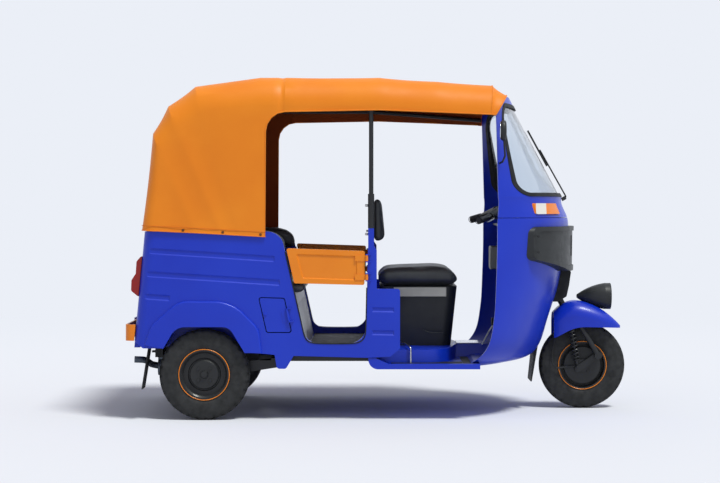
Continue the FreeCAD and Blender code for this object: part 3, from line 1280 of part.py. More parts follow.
def handlebar():
    """Swept-back bar with grips, and the head cover on top of the column."""
    rake = math.radians(size("rake"))
    hub = point("steer_x", 0, "steer_z") + V(-math.sin(rake), 0, math.cos(rake)) * size("column_top + 13")
    tilt = math.radians(size("bar_tilt"))
    aft = V(-math.cos(tilt), 0, -math.sin(tilt))
    reach = size("grip_half")

    def spot(back, side):
        return hub + aft * back + V(0, side, 0)

    route = [spot(205, -reach), spot(95, -150), spot(0, -60), spot(0, 60), spot(95, 150), spot(205, reach)]
    pieces = [bent_tube(route, size("bar_radius"), 60)]
    for hand in (-1, 1):
        end, start = spot(205, hand * reach), spot(140, hand * (reach - 112))
        pieces.append(Part.makeCylinder(size("bar_radius + 6"), 125, end, start - end))
        pieces.append(Part.makeCone(size("bar_radius + 9"), 34, 130, start, hub - start))
    pieces.append(Part.makeSphere(44, hub))
    collar = hub - V(-math.sin(rake), 0, math.cos(rake)) * 13
    body = pieces[0].multiFuse(pieces[1:])
    below = Part.makeCylinder(120, 60, collar, V(math.sin(rake), 0, -math.cos(rake)))
    return body.cut(below).removeSplitter()


node(solid_feature("handlebar", handlebar()))


# Seats

def cushion(name, x, length, half, low, high, round_off):
    body = new_body(name)
    pad(outline(new_sketch(body, "XY_Plane", low), [
        (x, f"-({half})", round_off), (f"{x} + ({length})", f"-({half})", round_off),
        (f"{x} + ({length})", half, round_off), (x, half, round_off)]), f"({high}) - ({low})")
    return body


node(cushion("driver_seat_cushion", "driver_seat_rear_x", "driver_seat_front_x - driver_seat_rear_x",
             "driver_seat_half", "driver_seat_z - driver_cushion_depth", "driver_seat_z", "60"))
seat_base = new_body("driver_seat_base")
rings = []
for height, front, half in (("tunnel_z", "driver_seat_front_x - 32", "driver_seat_half - 50"),
                            ("driver_seat_z - driver_cushion_depth - running_gap", "driver_seat_front_x",
                             "driver_seat_half - 14")):
    rings.append(outline(new_sketch(seat_base, "XY_Plane", height), [
        ("driver_seat_rear_x + 8", f"-({half})", "30"), (front, f"-({half})", "60"),
        (front, half, "60"), ("driver_seat_rear_x + 8", half, "30")]))
walls = seat_base.newObject("PartDesign::AdditiveLoft", "seat_base_loft")
walls.Profile = rings[0]
walls.Sections = rings[1:]
walls.Ruled = True
node(seat_base)
node(side_plate("driver_backrest", [
    ("post_x + 8 + running_gap", "1133", "16"), ("post_x + 66", "1133", "22"), ("post_x + 76", "925", "22"),
    ("post_x + 8 + running_gap", "910", "12")], "0", "460", middle=True))
node(cushion("passenger_seat_cushion", "bench_back_x", "bench_front_x - bench_back_x", "bench_half",
             "bench_base_z + running_gap", "bench_top_z", "40"))
back_pad = side_plate("back_pad", [
    ("bench_back_x - 2", "bench_base_z + running_gap"), ("bench_back_x - 50", "1110", "25"),
    ("bench_back_x - 110", "1110", "25"), ("bench_back_x - 90", "bench_base_z + running_gap")],
    "0", "2 * bench_half", middle=True)
arm_pad = side_plate("arm_pad", [
    ("-800", "860"), ("-494", "860", "10"), ("-508", "977", "75"), ("-640", "977", "40"), ("-800", "950")],
    "body_half - wall - 56", "56 - running_gap")
node(joined("Compound", "passenger_seat_back", back_pad, both_sides("arm_pads", arm_pad)))


# Mirrors and wiper

def mirror():
    """Oval head on a bent stalk from the right screen pillar."""
    head = V(614, -size("body_half + 55"), 1481)
    stalk = bent_tube([V(596, -size("body_half - 20"), 1314), V(612, -size("body_half + 26"), 1322),
                       V(624, -size("body_half + 40"), 1352), head], 5, 12)
    oval = Part.Ellipse(V(), 52, 44).toShape()
    shell = Part.Face(Part.Wire(oval)).extrude(V(0, 0, 30))
    shell = shell.makeFillet(13, [edge for edge in shell.Edges if edge.Length > 100 and edge.BoundBox.ZLength < 1])
    shell.Placement = FreeCAD.Placement(head + V(-15, 0, 0), FreeCAD.Rotation(V(0, 1, 0), 90))
    return stalk.fuse(shell)


node(both_sides("mirrors", cut("mirror_right", solid_feature("mirror_blank", mirror()),
                                 curved_wall("screen_face", SCREEN, "running_gap", ruled=True))))


def wiper():
    """Arm from a pivot under the screen and a blade along the glass."""
    slope = V(size("screen_top_nose - screen_base_nose"), 0, size("screen_top_z - screen_base_z")).normalize()
    out = V(slope.z, 0, -slope.x)
    base = point("screen_base_nose", 0, "screen_base_z")

    def spot(up, off, side=0):
        return base + slope * up + out * off + V(0, side, 0)

    arm_rod = bent_tube([spot(-14, 0), spot(-14, 26), spot(280, 22)], 4, 8)
    knob = Part.makeCylinder(10, 24.7, spot(-14, -2.7), out)
    blade = Part.makeCylinder(5, 220, spot(185, 14), slope)
    clip = Part.makeCylinder(4, 10, spot(278, 14), out)
    return arm_rod.multiFuse([knob, blade, clip]).removeSplitter()


node(solid_feature("wiper", wiper()))


doc.recompute()


def check(thing):
    """Stop at a failed feature, and at a cut that takes nothing away."""
    bad = {"Invalid", "Error"} & set(thing.State)
    if bad:
        raise RuntimeError(f"{thing.Label} is {bad}")
    if thing.TypeId in ("PartDesign::Pocket", "PartDesign::Groove"):
        taken = thing.BaseFeature.Shape.Volume - thing.Shape.Volume
        if taken < 1:
            raise RuntimeError(f"{thing.Label} cuts nothing")


for thing in doc.Objects:
    check(thing)
os.makedirs("parts", exist_ok=True)
for name, thing in NODES.items():
    if thing.Shape.isNull() or not thing.Shape.isValid():
        raise RuntimeError(f"{name} has no valid shape")
    thing.Shape.exportStep(f"parts/{name}.step")
    box = thing.Shape.BoundBox
    print(f"{name:24s} solids {len(thing.Shape.Solids)} volume {thing.Shape.Volume / 1e6:8.3f} l "
          f"x {box.XMin:7.0f} {box.XMax:7.0f} y {box.YMin:6.0f} {box.YMax:6.0f} z {box.ZMin:6.0f} {box.ZMax:6.0f}")
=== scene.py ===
# %% [markdown]
# # An auto rickshaw, finished on its CAD frame
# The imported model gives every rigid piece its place. Here it gets a camera, light, real finishes, and the
# pieces that CAD leaves plain: cloth, padding, tyre treads, springs, lamps and small fittings. Everything
# is in metres, with +X forward, +Y to the vehicle's left and +Z up.

# %% Load the frame
import math

import bmesh
import bpy
from mathutils import Matrix, Vector, noise


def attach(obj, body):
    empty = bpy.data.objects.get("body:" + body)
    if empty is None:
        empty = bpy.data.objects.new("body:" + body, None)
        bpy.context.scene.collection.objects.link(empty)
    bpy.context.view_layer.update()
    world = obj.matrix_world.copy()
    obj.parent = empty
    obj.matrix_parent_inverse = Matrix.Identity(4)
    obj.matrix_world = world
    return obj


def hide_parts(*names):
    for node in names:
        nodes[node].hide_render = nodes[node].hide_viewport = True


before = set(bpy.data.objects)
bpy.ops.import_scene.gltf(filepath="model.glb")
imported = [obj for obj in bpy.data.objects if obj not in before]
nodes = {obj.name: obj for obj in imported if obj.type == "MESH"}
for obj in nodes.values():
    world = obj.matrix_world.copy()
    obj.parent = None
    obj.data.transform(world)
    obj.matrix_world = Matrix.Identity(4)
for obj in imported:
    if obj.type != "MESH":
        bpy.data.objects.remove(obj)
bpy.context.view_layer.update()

SIDES = (("right", -1), ("left", 1))

# %% [markdown]
# ## The camera
# The vehicle is seen square from its right side, from about ten metres, with a long lens, a little above
# the middle of its height. Tilting the camera would make the posts lean, so the lens is shifted instead,
# and upright lines stay upright.

# %% Camera
PHOTO_WIDTH = 720
FOCAL_PIXELS = 1868
SENSOR_MM = 36
camera_data = bpy.data.cameras.new("camera")
camera_data.sensor_width = SENSOR_MM
camera_data.lens = SENSOR_MM * FOCAL_PIXELS / PHOTO_WIDTH
camera_data.shift_x = -15 / PHOTO_WIDTH
camera_data.shift_y = -36.5 / PHOTO_WIDTH
camera = bpy.data.objects.new("camera", camera_data)
camera.location = (-0.038, -10.183, 1.102)
camera.rotation_euler = (math.radians(90), 0, 0)
bpy.context.scene.collection.objects.link(camera)
bpy.context.scene.camera = camera
print("lens", round(camera_data.lens, 1), "mm")

# %% [markdown]
# ## Colours and nodes
# Colours are picked as sRGB hex codes, as on a paint card, but shaders work in linear light, so one
# function turns them. A second one adds any node with its settings and links, which keeps each finish to
# a few lines.

# %% Colour and node helpers
def linear(code):
    """sRGB hex code as the linear colour that a shader socket takes."""
    parts = [int(code[i:i + 2], 16) / 255 for i in (1, 3, 5)]
    return tuple(c / 12.92 if c <= 0.04045 else ((c + 0.055) / 1.055) ** 2.4 for c in parts) + (1,)


def add_node(tree, kind, settings=None, **inputs):
    """Add a node, set its properties, and give its inputs a value or another node's output socket."""
    made = tree.nodes.new(kind)
    for name, value in (settings or {}).items():
        setattr(made, name, value)
    for name, value in inputs.items():
        key = int(name[1:]) if name[1:].isdigit() else name.replace("_", " ")
        if isinstance(value, bpy.types.NodeSocket):
            tree.links.new(value, made.inputs[key])
        else:
            made.inputs[key].default_value = value
    return made


print("the blue paint in linear light:", [round(part, 4) for part in linear("#0A2CB2")])

# %% [markdown]
# ## Light, floor and background
# One soft sun stands high over the front right, so the shadow falls behind and to the rear. Lamps close
# by would light one end more than the other, so a bright world fills the shade instead. Camera, glossy
# and transmission rays see the world as the pale studio colour.

# %% World, sun and floor
scene = bpy.context.scene
scene.view_settings.view_transform = "Standard"
STUDIO = linear("#EBEFF7")
world = bpy.data.worlds.new("studio")
scene.world = world
world.use_nodes = True
sky = world.node_tree
sky.nodes.clear()
rays = add_node(sky, "ShaderNodeLightPath")
seen = rays.outputs["Is Camera Ray"]
for kind in ("Is Transmission Ray", "Is Glossy Ray"):
    seen = add_node(sky, "ShaderNodeMath", {"operation": "MAXIMUM"}, _0=seen,
                    _1=rays.outputs[kind]).outputs[0]
fill = add_node(sky, "ShaderNodeBackground", Color=linear("#EEF1FA"), Strength=0.5)
studio = add_node(sky, "ShaderNodeBackground", Color=STUDIO, Strength=1)
mixed = add_node(sky, "ShaderNodeMixShader", _0=seen, _1=fill.outputs[0], _2=studio.outputs[0])
add_node(sky, "ShaderNodeOutputWorld", Surface=mixed.outputs[0])

sun_data = bpy.data.lights.new("sun", "SUN")
sun_data.energy = 2.8
sun_data.angle = math.radians(14)
sun_data.color = (0.98, 1.0, 0.94)
sun = bpy.data.objects.new("sun", sun_data)
sun.rotation_euler = Vector((0.35, -0.36, 1)).to_track_quat("Z", "Y").to_euler()
scene.collection.objects.link(sun)

bpy.ops.object.select_all(action="DESELECT")
bpy.ops.mesh.primitive_plane_add(size=120)
floor = bpy.context.object
floor.name = "floor"
print("sun", sun_data.energy, "and a floor of", round(floor.dimensions.x), "m")


# %% [markdown]
# ## Finishes
# Each finish is named for what the real one is. All patterns read Object coordinates, which are metres,
# so a texture scale is one over the size of its grain in metres. Noise in the colour, the roughness and
# the bump, each at its own size, is what makes a surface look used and not like a flat swatch.

# %% Material helpers
def finish(name, **sockets):
    """A material with a Principled shader; returns the material, its tree and the shader."""
    material = bpy.data.materials.new(name)
    material.use_nodes = True
    tree = material.node_tree
    shader = tree.nodes["Principled BSDF"]
    for key, value in sockets.items():
        shader.inputs[key.replace("_", " ")].default_value = value
    return material, tree, shader


def grain_of(tree, size_mm, detail=2.0, stretch=(1, 1, 1), kind="ShaderNodeTexNoise"):
    """Texture whose grain is about size_mm across, on Object coordinates."""
    place = add_node(tree, "ShaderNodeTexCoord")
    turned = add_node(tree, "ShaderNodeMapping", None, Vector=place.outputs["Object"], Scale=stretch)
    texture = add_node(tree, kind, None, Vector=turned.outputs[0], Scale=1000 / size_mm)
    if kind == "ShaderNodeTexNoise":
        texture.inputs["Detail"].default_value = detail
    return texture.outputs[0]


def tint(tree, shader, factor, dark, light, low=0.35, high=0.65):
    """Blend two colours by a texture into the base colour."""
    ramp = add_node(tree, "ShaderNodeMapRange", None, Value=factor, From_Min=low, From_Max=high)
    blend = add_node(tree, "ShaderNodeMix", {"data_type": "RGBA"}, Factor=ramp.outputs[0])
    blend.inputs[6].default_value, blend.inputs[7].default_value = linear(dark), linear(light)
    tree.links.new(blend.outputs[2], shader.inputs["Base Color"])


def roughen(tree, shader, factor, low, high):
    """Vary the roughness between two values by a texture."""
    ramp = add_node(tree, "ShaderNodeMapRange", None, Value=factor, To_Min=low, To_Max=high,
                    From_Min=0.3, From_Max=0.7)
    tree.links.new(ramp.outputs[0], shader.inputs["Roughness"])


def bump(tree, shader, height, depth_mm, strength=0.6, before=None):
    """Raise the surface by a height texture of a real depth."""
    made = add_node(tree, "ShaderNodeBump", None, Height=height, Distance=depth_mm / 1000,
                    Strength=strength)
    if before:
        tree.links.new(before, made.inputs["Normal"])
    tree.links.new(made.outputs[0], shader.inputs["Normal"])
    return made.outputs[0]


# %% [markdown]
# ### The studio floor
# The floor is a plain matt sheet that takes the shadow. A backdrop would need a curve and would darken
# where it rises, so the floor itself turns into the background's colour from 3 to 9 metres out, for the
# camera alone.

# %% Studio floor
material, tree, shader = finish("studio_floor", Roughness=1.0, Specular_IOR_Level=0.0)
shader.inputs["Base Color"].default_value = linear("#DBDCE4")
far = add_node(tree, "ShaderNodeTexCoord")
distance = add_node(tree, "ShaderNodeVectorMath", {"operation": "LENGTH"}, _0=far.outputs["Object"])
fade = add_node(tree, "ShaderNodeMapRange", {"interpolation_type": "SMOOTHSTEP"},
                Value=distance.outputs["Value"], From_Min=3.0, From_Max=9.0)
glow = add_node(tree, "ShaderNodeEmission", Color=STUDIO, Strength=1)
floor_rays = add_node(tree, "ShaderNodeLightPath")
only_seen = add_node(tree, "ShaderNodeMath", {"operation": "MULTIPLY"}, _0=fade.outputs[0],
                     _1=floor_rays.outputs["Is Camera Ray"])
cover = add_node(tree, "ShaderNodeMixShader", _0=only_seen.outputs[0], _1=shader.outputs[0],
                 _2=glow.outputs[0])
tree.links.new(cover.outputs[0], tree.nodes["Material Output"].inputs["Surface"])
floor.data.materials.append(material)
print("floor finish", material.name)

# %% [markdown]
# ### Stoving enamel
# The tub and cowl are pressed steel, sprayed and baked. The paint is glossy, with a slight orange peel
# about 14 mm across, and a thin film of road dust dulls it unevenly. A thin clear coat over a rougher
# base gives both a sharp and a soft highlight. The chassis enamel is thinner and duller.

# %% Enamels
def enamel(name, dark, light, rough=0.26):
    """Baked paint; a higher rough makes it duller, down to thread."""
    material, tree, shader = finish(name, Coat_Weight=0.15, Coat_Roughness=0.15, IOR=1.45,
                                    Specular_IOR_Level=0.35)
    tint(tree, shader, grain_of(tree, 420, 3), dark, light, 0.3, 0.7)
    roughen(tree, shader, grain_of(tree, 90, 4), rough, rough + 0.12)
    bump(tree, shader, grain_of(tree, 14, 1), 0.05, 0.25)
    return material


blue_enamel = enamel("blue_stoving_enamel", "#0A2CB2", "#1034BC", 0.3)
orange_enamel = enamel("orange_stoving_enamel", "#E07A10", "#EA8818", 0.34)
black_enamel = enamel("black_chassis_enamel", "#1A1B1D", "#222427", 0.4)
grey_enamel = enamel("pale_grey_enamel", "#A3A9B6", "#B4BAC6", 0.35)
plate_white = enamel("plate_white_enamel", "#D6D7D3", "#E0E0DC", 0.35)
print("materials so far", len(bpy.data.materials))

# %% [markdown]
# ### Moulded plastics
# The mask, lamp shell and seat base are dark grey ABS from a spark-eroded mould: an even matt grain under
# a millimetre across, drawn a little coarser here so that it shows. The seat box's band is the same
# plastic with silver paint, and the dash cover is left pale.

# %% Plastics
def moulded(name, dark, light, rough=0.42, metallic=0.0):
    """Grained ABS; the grain breaks the highlight up, so it looks matt from afar."""
    material, tree, shader = finish(name, IOR=1.5, Specular_IOR_Level=0.35, Metallic=metallic)
    tint(tree, shader, grain_of(tree, 180, 3), dark, light)
    roughen(tree, shader, grain_of(tree, 40, 4), rough - 0.06, rough + 0.08)
    bump(tree, shader, grain_of(tree, 1.6, 2), 0.12, 0.5)
    return material


dark_abs = moulded("dark_grey_abs", "#1E2123", "#282B2D")
black_abs = moulded("black_abs", "#1B1D1F", "#26282A")
silver_abs = moulded("silver_painted_abs", "#8E8D8A", "#A3A19D", 0.35, 0.75)
pale_abs = moulded("pale_grey_abs", "#70726F", "#7E807D", 0.5)
print("plastics", dark_abs.name, black_abs.name, silver_abs.name, pale_abs.name)

# %% [markdown]
# ### Glass and lamp lenses
# The windscreen is flat safety glass, clear with a faint film. The headlamp's lens is clear acrylic with
# moulded flutes. The tail lamps and indicators are moulded in bands of colour, which could be three
# pieces each, but the CAD lens is one, so its colour changes along one axis. They are opaque in the light
# of day: a bright housing behind them isn't modelled, and clear red over nothing would look black.

# %% Glass and lenses
glass, tree, shader = finish("windscreen_glass", Transmission_Weight=1.0, Roughness=0.02, IOR=1.45)
shader.inputs["Base Color"].default_value = linear("#E3EAF1")
roughen(tree, shader, grain_of(tree, 350, 4), 0.0, 0.04)

clear_lens, tree, shader = finish("clear_acrylic", Transmission_Weight=0.6, Coat_Weight=0.8,
                                  Coat_Roughness=0.04, IOR=1.49)
shader.inputs["Base Color"].default_value = linear("#E4E6E8")
roughen(tree, shader, grain_of(tree, 30, 3), 0.1, 0.18)
bump(tree, shader, grain_of(tree, 7, 0, (1, 1, 0.2)), 0.3, 0.4)


def banded(name, axis, bands, rest):
    """Acrylic in bands along an axis, each (its upper end in metres, colour), then the rest's colour."""
    material, tree, shader = finish(name, Coat_Weight=0.15, Coat_Roughness=0.05, IOR=1.49,
                                    Specular_IOR_Level=0.35)
    place = add_node(tree, "ShaderNodeTexCoord")
    apart = add_node(tree, "ShaderNodeSeparateXYZ", None, _0=place.outputs["Object"])
    colour = linear(rest)
    shader.inputs["Base Color"].default_value = colour
    for limit, code in reversed(bands):
        below = add_node(tree, "ShaderNodeMath", {"operation": "LESS_THAN"}, _0=apart.outputs[axis],
                         _1=limit)
        blend = add_node(tree, "ShaderNodeMix", {"data_type": "RGBA"}, _0=below.outputs[0], _6=colour,
                         _7=linear(code))
        colour = blend.outputs[2]
    if bands:
        tree.links.new(colour, shader.inputs["Base Color"])
    roughen(tree, shader, grain_of(tree, 30, 3), 0.1, 0.18)
    ribs = add_node(tree, "ShaderNodeTexWave", {"bands_direction": "Z"}, Vector=place.outputs["Object"],
                    Scale=8.0)
    bump(tree, shader, ribs.outputs["Fac"], 0.8, 0.5)
    return material


LAMP_RED, LAMP_AMBER = "#8A0A04", "#E2780A"
red_acrylic = banded("red_lamp_acrylic", "Z", [], LAMP_RED)
tail_acrylic = banded("tail_lamp_acrylic", "Z", [(0.690, LAMP_RED), (0.725, "#CFCFCA"), (0.780, "#DE7410")],
                      LAMP_RED)
front_acrylic = banded("indicator_acrylic", "X", [(0.797, LAMP_AMBER), (0.857, "#D9D6CE")], LAMP_AMBER)
print("lenses", red_acrylic.name, tail_acrylic.name, front_acrylic.name)

# %% [markdown]
# ### Rubber and vinyl
# Tyre rubber is nearly black and dull, and dust greys its sides. Trim rubber is smoother. The seat vinyl
# has a leather-like emboss about 2 mm across. Small cells look more like pressed leather than noise does.

# %% Rubber and vinyl
tyre_rubber, tree, shader = finish("tyre_rubber", IOR=1.52, Specular_IOR_Level=0.35)
tint(tree, shader, grain_of(tree, 45, 6), "#1B1C1D", "#2A2B2C")
roughen(tree, shader, grain_of(tree, 20, 5), 0.62, 0.85)
bump(tree, shader, grain_of(tree, 2.5, 3), 0.15, 0.5)

black_rubber, tree, shader = finish("black_rubber", IOR=1.52, Specular_IOR_Level=0.2)
tint(tree, shader, grain_of(tree, 60, 4), "#17181A", "#232527")
roughen(tree, shader, grain_of(tree, 25, 4), 0.5, 0.7)
bump(tree, shader, grain_of(tree, 3, 2), 0.1, 0.4)

seat_vinyl, tree, shader = finish("black_seat_vinyl", IOR=1.5, Sheen_Weight=0.15, Sheen_Roughness=0.4)
tint(tree, shader, grain_of(tree, 120, 4), "#292C2F", "#34373B")
roughen(tree, shader, grain_of(tree, 50, 4), 0.38, 0.52)
bump(tree, shader, grain_of(tree, 2.4, kind="ShaderNodeTexVoronoi"), 0.35, 0.45)
print("rubber and vinyl", tyre_rubber.name, black_rubber.name, seat_vinyl.name)

# %% [markdown]
# ### Coated canvas
# The canopy is PVC-coated canvas: the threads show through the coat as a fine square weave. The cloth
# runs every way over the bows, so one wave along each axis is used and the highest counts. Under it lies
# a broad, shallow slackness. The inside faces get a duller copy of the canvas whose dark brown is painted
# shade, for the shade inside the canopy. The sewing thread is darker too, so that each seam reads as a
# line.

# %% Canopy cloth and thread
THREAD_MM = 2.5
WAVES_PER_SCALE = 20


def coated_canvas(name, dark, light, rough):
    """PVC-coated canvas; the weave is about 1.3 mm, drawn at 2.5 mm so that it shows."""
    material, tree, shader = finish(name, IOR=1.46, Sheen_Weight=0.04, Sheen_Roughness=0.5,
                                    Specular_IOR_Level=0.3)
    tint(tree, shader, grain_of(tree, 300, 5), dark, light, 0.25, 0.75)
    roughen(tree, shader, grain_of(tree, 90, 4), rough, rough + 0.12)
    place = add_node(tree, "ShaderNodeTexCoord")
    weave = None
    for axis in ("X", "Z", "Y"):
        wave = add_node(tree, "ShaderNodeTexWave", {"bands_direction": axis},
                        Vector=place.outputs["Object"], Scale=1000 / THREAD_MM / WAVES_PER_SCALE,
                        Distortion=0.4, Detail=1).outputs["Fac"]
        weave = wave if weave is None else add_node(
            tree, "ShaderNodeMath", {"operation": "MAXIMUM"}, _0=weave, _1=wave).outputs[0]
    broad = bump(tree, shader, grain_of(tree, 240, 1), 5, 0.35)
    bump(tree, shader, weave, 0.2, 0.35, broad)
    return material


canvas = coated_canvas("orange_coated_canvas", "#E07A12", "#EA881A", 0.42)
# The inside faces: a duller copy of the canvas in dark brown, which is painted shade for the canopy's
# inside.
painted_shade_canvas = coated_canvas("canopy_inside_painted_shade", "#8A3A0C", "#9C4610", 0.7)
orange_thread = enamel("orange_thread", "#C66A14", "#D4761C", 0.7)
brown_thread = enamel("brown_thread", "#5A3312", "#6B3E18", 0.7)
print("cloth", canvas.name, painted_shade_canvas.name, orange_thread.name, brown_thread.name)

# %% [markdown]
# ### Metals
# Zinc-plated fasteners are pale and faintly blotchy. Cast aluminium is grey and pitted from sand, and the
# tunnel's plate is rolled and bright. Chrome and mirror glass are smooth. The exhaust is mild steel,
# greyed by heat.

# %% Metals
def metal(name, dark, light, rough, grain=25, pit=0.05):
    """Bare or plated metal: grain is its blotches and pit the depth of its marks, in millimetres."""
    material, tree, shader = finish(name, Metallic=1.0)
    tint(tree, shader, grain_of(tree, grain, 5), dark, light)
    roughen(tree, shader, grain_of(tree, grain / 2, 4), rough - 0.08, rough + 0.1)
    bump(tree, shader, grain_of(tree, 2, 2), pit, 0.4)
    return material


zinc = metal("zinc_plated_steel", "#A8A9AA", "#C9CACB", 0.32)
cast_aluminium = metal("cast_aluminium", "#6F7072", "#8B8C8E", 0.55, 30, 0.3)
rolled_aluminium = metal("brushed_aluminium_plate", "#C3C8D0", "#D6DAE0", 0.2, 60, 0.02)
chrome = metal("chromed_steel", "#D5D6D8", "#E4E5E6", 0.12, 60, 0.01)
mirror_glass = metal("silvered_glass", "#C9D0D6", "#D5DBE0", 0.04, 80, 0.0)
greyed_steel = metal("heat_greyed_steel", "#4E5660", "#747C86", 0.5, 35, 0.15)
print("materials in all", len(bpy.data.materials))

# %% [markdown]
# ## Finishes on the CAD nodes
# These nodes already have their true shape, so they only need their finish. Each tail lamp gets two:
# plain red on its sides, and the bands on the faces that look to the rear.

# %% Assign finishes
FINISHES = {
    blue_enamel: ["side_panel_left", "side_panel_right", "fuel_flap", "rear_panel", "engine_lid",
                  "rear_shelf", "wheel_housings", "partition_panel", "driver_floor", "front_cowl",
                  "windscreen_frame", "front_fender", "floor_pan"],
    orange_enamel: ["half_door_left", "half_door_right", "rear_bumper"],
    black_enamel: ["brake_cable", "canopy_frame", "chassis_frame", "trailing_arms", "rear_dampers",
                   "steering_fork", "trailing_link", "front_damper", "front_rim", "rear_rim_left",
                   "rear_rim_right", "wiper"],
    grey_enamel: ["passenger_seat_base"],
    dark_abs: ["front_mask", "driver_seat_base", "dashboard"],
    black_abs: ["headlamp_shell", "handlebar", "mirrors"],
    black_rubber: ["windscreen_seal", "front_apron", "mudflaps"],
    tyre_rubber: ["front_tyre", "rear_tyre_left", "rear_tyre_right"],
    front_acrylic: ["side_indicators"],
    red_acrylic: ["tail_lamps"],
    clear_lens: ["headlamp_lens"],
    glass: ["windscreen_glass"],
    cast_aluminium: ["engine_block"],
    greyed_steel: ["exhaust"],
    canvas: ["canopy"],
    seat_vinyl: ["driver_seat_cushion", "driver_backrest", "passenger_seat_cushion", "passenger_seat_back"],
}
for material, names in FINISHES.items():
    for name in names:
        mesh = nodes[name].data
        mesh.materials.clear()
        mesh.materials.append(material)
covered = {name for names in FINISHES.values() for name in names}
print("nodes with no finish:", sorted(set(nodes) - covered))

lamp_mesh = nodes["tail_lamps"].data
lamp_mesh.materials.append(tail_acrylic)
for face in lamp_mesh.polygons:
    face.material_index = 1 if face.normal.x < -0.8 else 0

# %% [markdown]
# ## Making pieces by hand
# A piece starts as a primitive at its place. Faces or edges are picked by where they are, then inset,
# extruded or bevelled. At the end its place goes into its mesh, it gets a finish, and it rides on a body.

# %% Choosing and modifying
def fresh():
    """Deselect everything, so that an operator acts on the next primitive alone."""
    bpy.ops.object.select_all(action="DESELECT")


def activate(piece):
    """Select one piece alone and make it the active one."""
    fresh()
    piece.select_set(True)
    bpy.context.view_layer.objects.active = piece


def modify(kind, **settings):
    """Add a modifier to the active piece and apply it."""
    change = bpy.context.object.modifiers.new(kind.lower(), kind)
    for key, value in settings.items():
        setattr(change, key, value)
    bpy.ops.object.modifier_apply(modifier=change.name)


def choose(test):
    """Enter edit mode with only those faces selected whose middle and normal pass a test."""
    bpy.ops.object.mode_set(mode="EDIT")
    bpy.ops.mesh.select_mode(type="FACE")
    bpy.ops.mesh.select_all(action="DESELECT")
    mesh = bpy.context.object.data
    shape = bmesh.from_edit_mesh(mesh)
    picked = 0
    for face in shape.faces:
        middle = sum((corner.co for corner in face.verts), Vector()) / len(face.verts)
        if test(middle, face.normal):
            face.select_set(True)
            picked += 1
    shape.select_flush(True)
    bmesh.update_edit_mesh(mesh)
    return picked


# %% Settling, copying and joining
def settle(name, material, body="body", stands_for=(), angle=35):
    """Name the active piece, put its place in its mesh, give it a finish and a body."""
    piece = bpy.context.object
    if piece.mode != "OBJECT":
        bpy.ops.object.mode_set(mode="OBJECT")
    piece.name = name
    bpy.ops.object.transform_apply(location=True, rotation=True, scale=True)
    piece.data.materials.clear()
    piece.data.materials.append(material)
    bpy.ops.object.shade_smooth_by_angle(angle=math.radians(angle))
    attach(piece, body)
    if stands_for:
        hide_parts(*stands_for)
    print(name, "faces", len(piece.data.polygons))
    return piece


def twin(piece, name, move=(0, 0, 0), flip=False, body="body", stands_for=()):
    """A copy with its own mesh, moved, or mirrored across y = 0."""
    made = piece.copy()
    made.data = piece.data.copy()
    made.name = name
    scene.collection.objects.link(made)
    if flip:
        made.data.transform(Matrix.Diagonal((1, -1, 1, 1)))
        made.data.flip_normals()
    made.data.transform(Matrix.Translation(move))
    made.parent = None
    made.matrix_world = Matrix()
    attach(made, body)
    if stands_for:
        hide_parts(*stands_for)
    return made


def join_all(name, pieces):
    """Join finished meshes into the first, under a new name."""
    fresh()
    for piece in pieces:
        piece.select_set(True)
    bpy.context.view_layer.objects.active = pieces[0]
    bpy.ops.object.join()
    pieces[0].name = name
    return pieces[0]


# %% Primitives to start from
def box_start(low, high, width=0.003, segments=3):
    """A cube primitive between two corners, with its edges rounded."""
    fresh()
    low, high = Vector(low), Vector(high)
    bpy.ops.mesh.primitive_cube_add(size=1, location=(low + high) / 2)
    bpy.context.object.scale = high - low
    bpy.ops.object.transform_apply(location=True, rotation=True, scale=True)
    modify("BEVEL", width=width, segments=segments)


def rod_start(start, end, radius, vertices=24, width=0.0015):
    """A cylinder primitive from one point to another, with rounded rims."""
    fresh()
    start, end = Vector(start), Vector(end)
    bpy.ops.mesh.primitive_cylinder_add(vertices=vertices, radius=radius, depth=(end - start).length,
                                        location=(start + end) / 2)
    bpy.context.object.rotation_euler = (end - start).to_track_quat("Z", "Y").to_euler()
    bpy.ops.object.transform_apply(location=True, rotation=True, scale=True)
    modify("BEVEL", width=width, segments=2, angle_limit=math.radians(50))


def ring_start(centre, axis, radius, thick, steps=48):
    """A torus primitive round an axis."""
    fresh()
    bpy.ops.mesh.primitive_torus_add(major_radius=radius, minor_radius=thick, major_segments=steps,
                                     minor_segments=10, location=centre)
    bpy.context.object.rotation_euler = Vector(axis).to_track_quat("Z", "Y").to_euler()


def ball_start(centre, radius, squeeze, segments):
    """A sphere primitive, longer or shorter along x."""
    fresh()
    bpy.ops.mesh.primitive_uv_sphere_add(segments=segments[0], ring_count=segments[1], radius=radius,
                                         location=centre)
    bpy.context.object.scale = (squeeze, 1, 1)
    bpy.ops.object.transform_apply(location=True, rotation=True, scale=True)


def pipe_start(points, radius, smooth=True, resolution=6):
    """A round tube along points, as a mesh."""
    line = bpy.data.curves.new("pipe", "CURVE")
    line.dimensions = "3D"
    line.bevel_depth, line.bevel_resolution, line.resolution_u = radius, 3, resolution
    line.use_fill_caps = True
    spline = line.splines.new("NURBS" if smooth else "POLY")
    spline.points.add(len(points) - 1)
    for spot, place in zip(spline.points, points):
        spot.co = (*place, 1)
    if smooth:
        spline.order_u, spline.use_endpoint_u = 3, True
    tube = bpy.data.objects.new("pipe", line)
    scene.collection.objects.link(tube)
    activate(tube)
    bpy.ops.object.convert(target="MESH")


# %% [markdown]
# ## The canopy
# The real canopy is coated canvas pulled over steel bows that fan out from the hem's front corner. A
# cloth run could drape it, but it is stretched so tight that the bows alone give its shape, and they make
# the creases. So the cloth is one grid: each crease is a row of points from the right foot over the top
# to the left foot, and the rows between two creases are blended and a little slack.

# %% Creases of the canopy
CLOTH_HALF = 0.6491
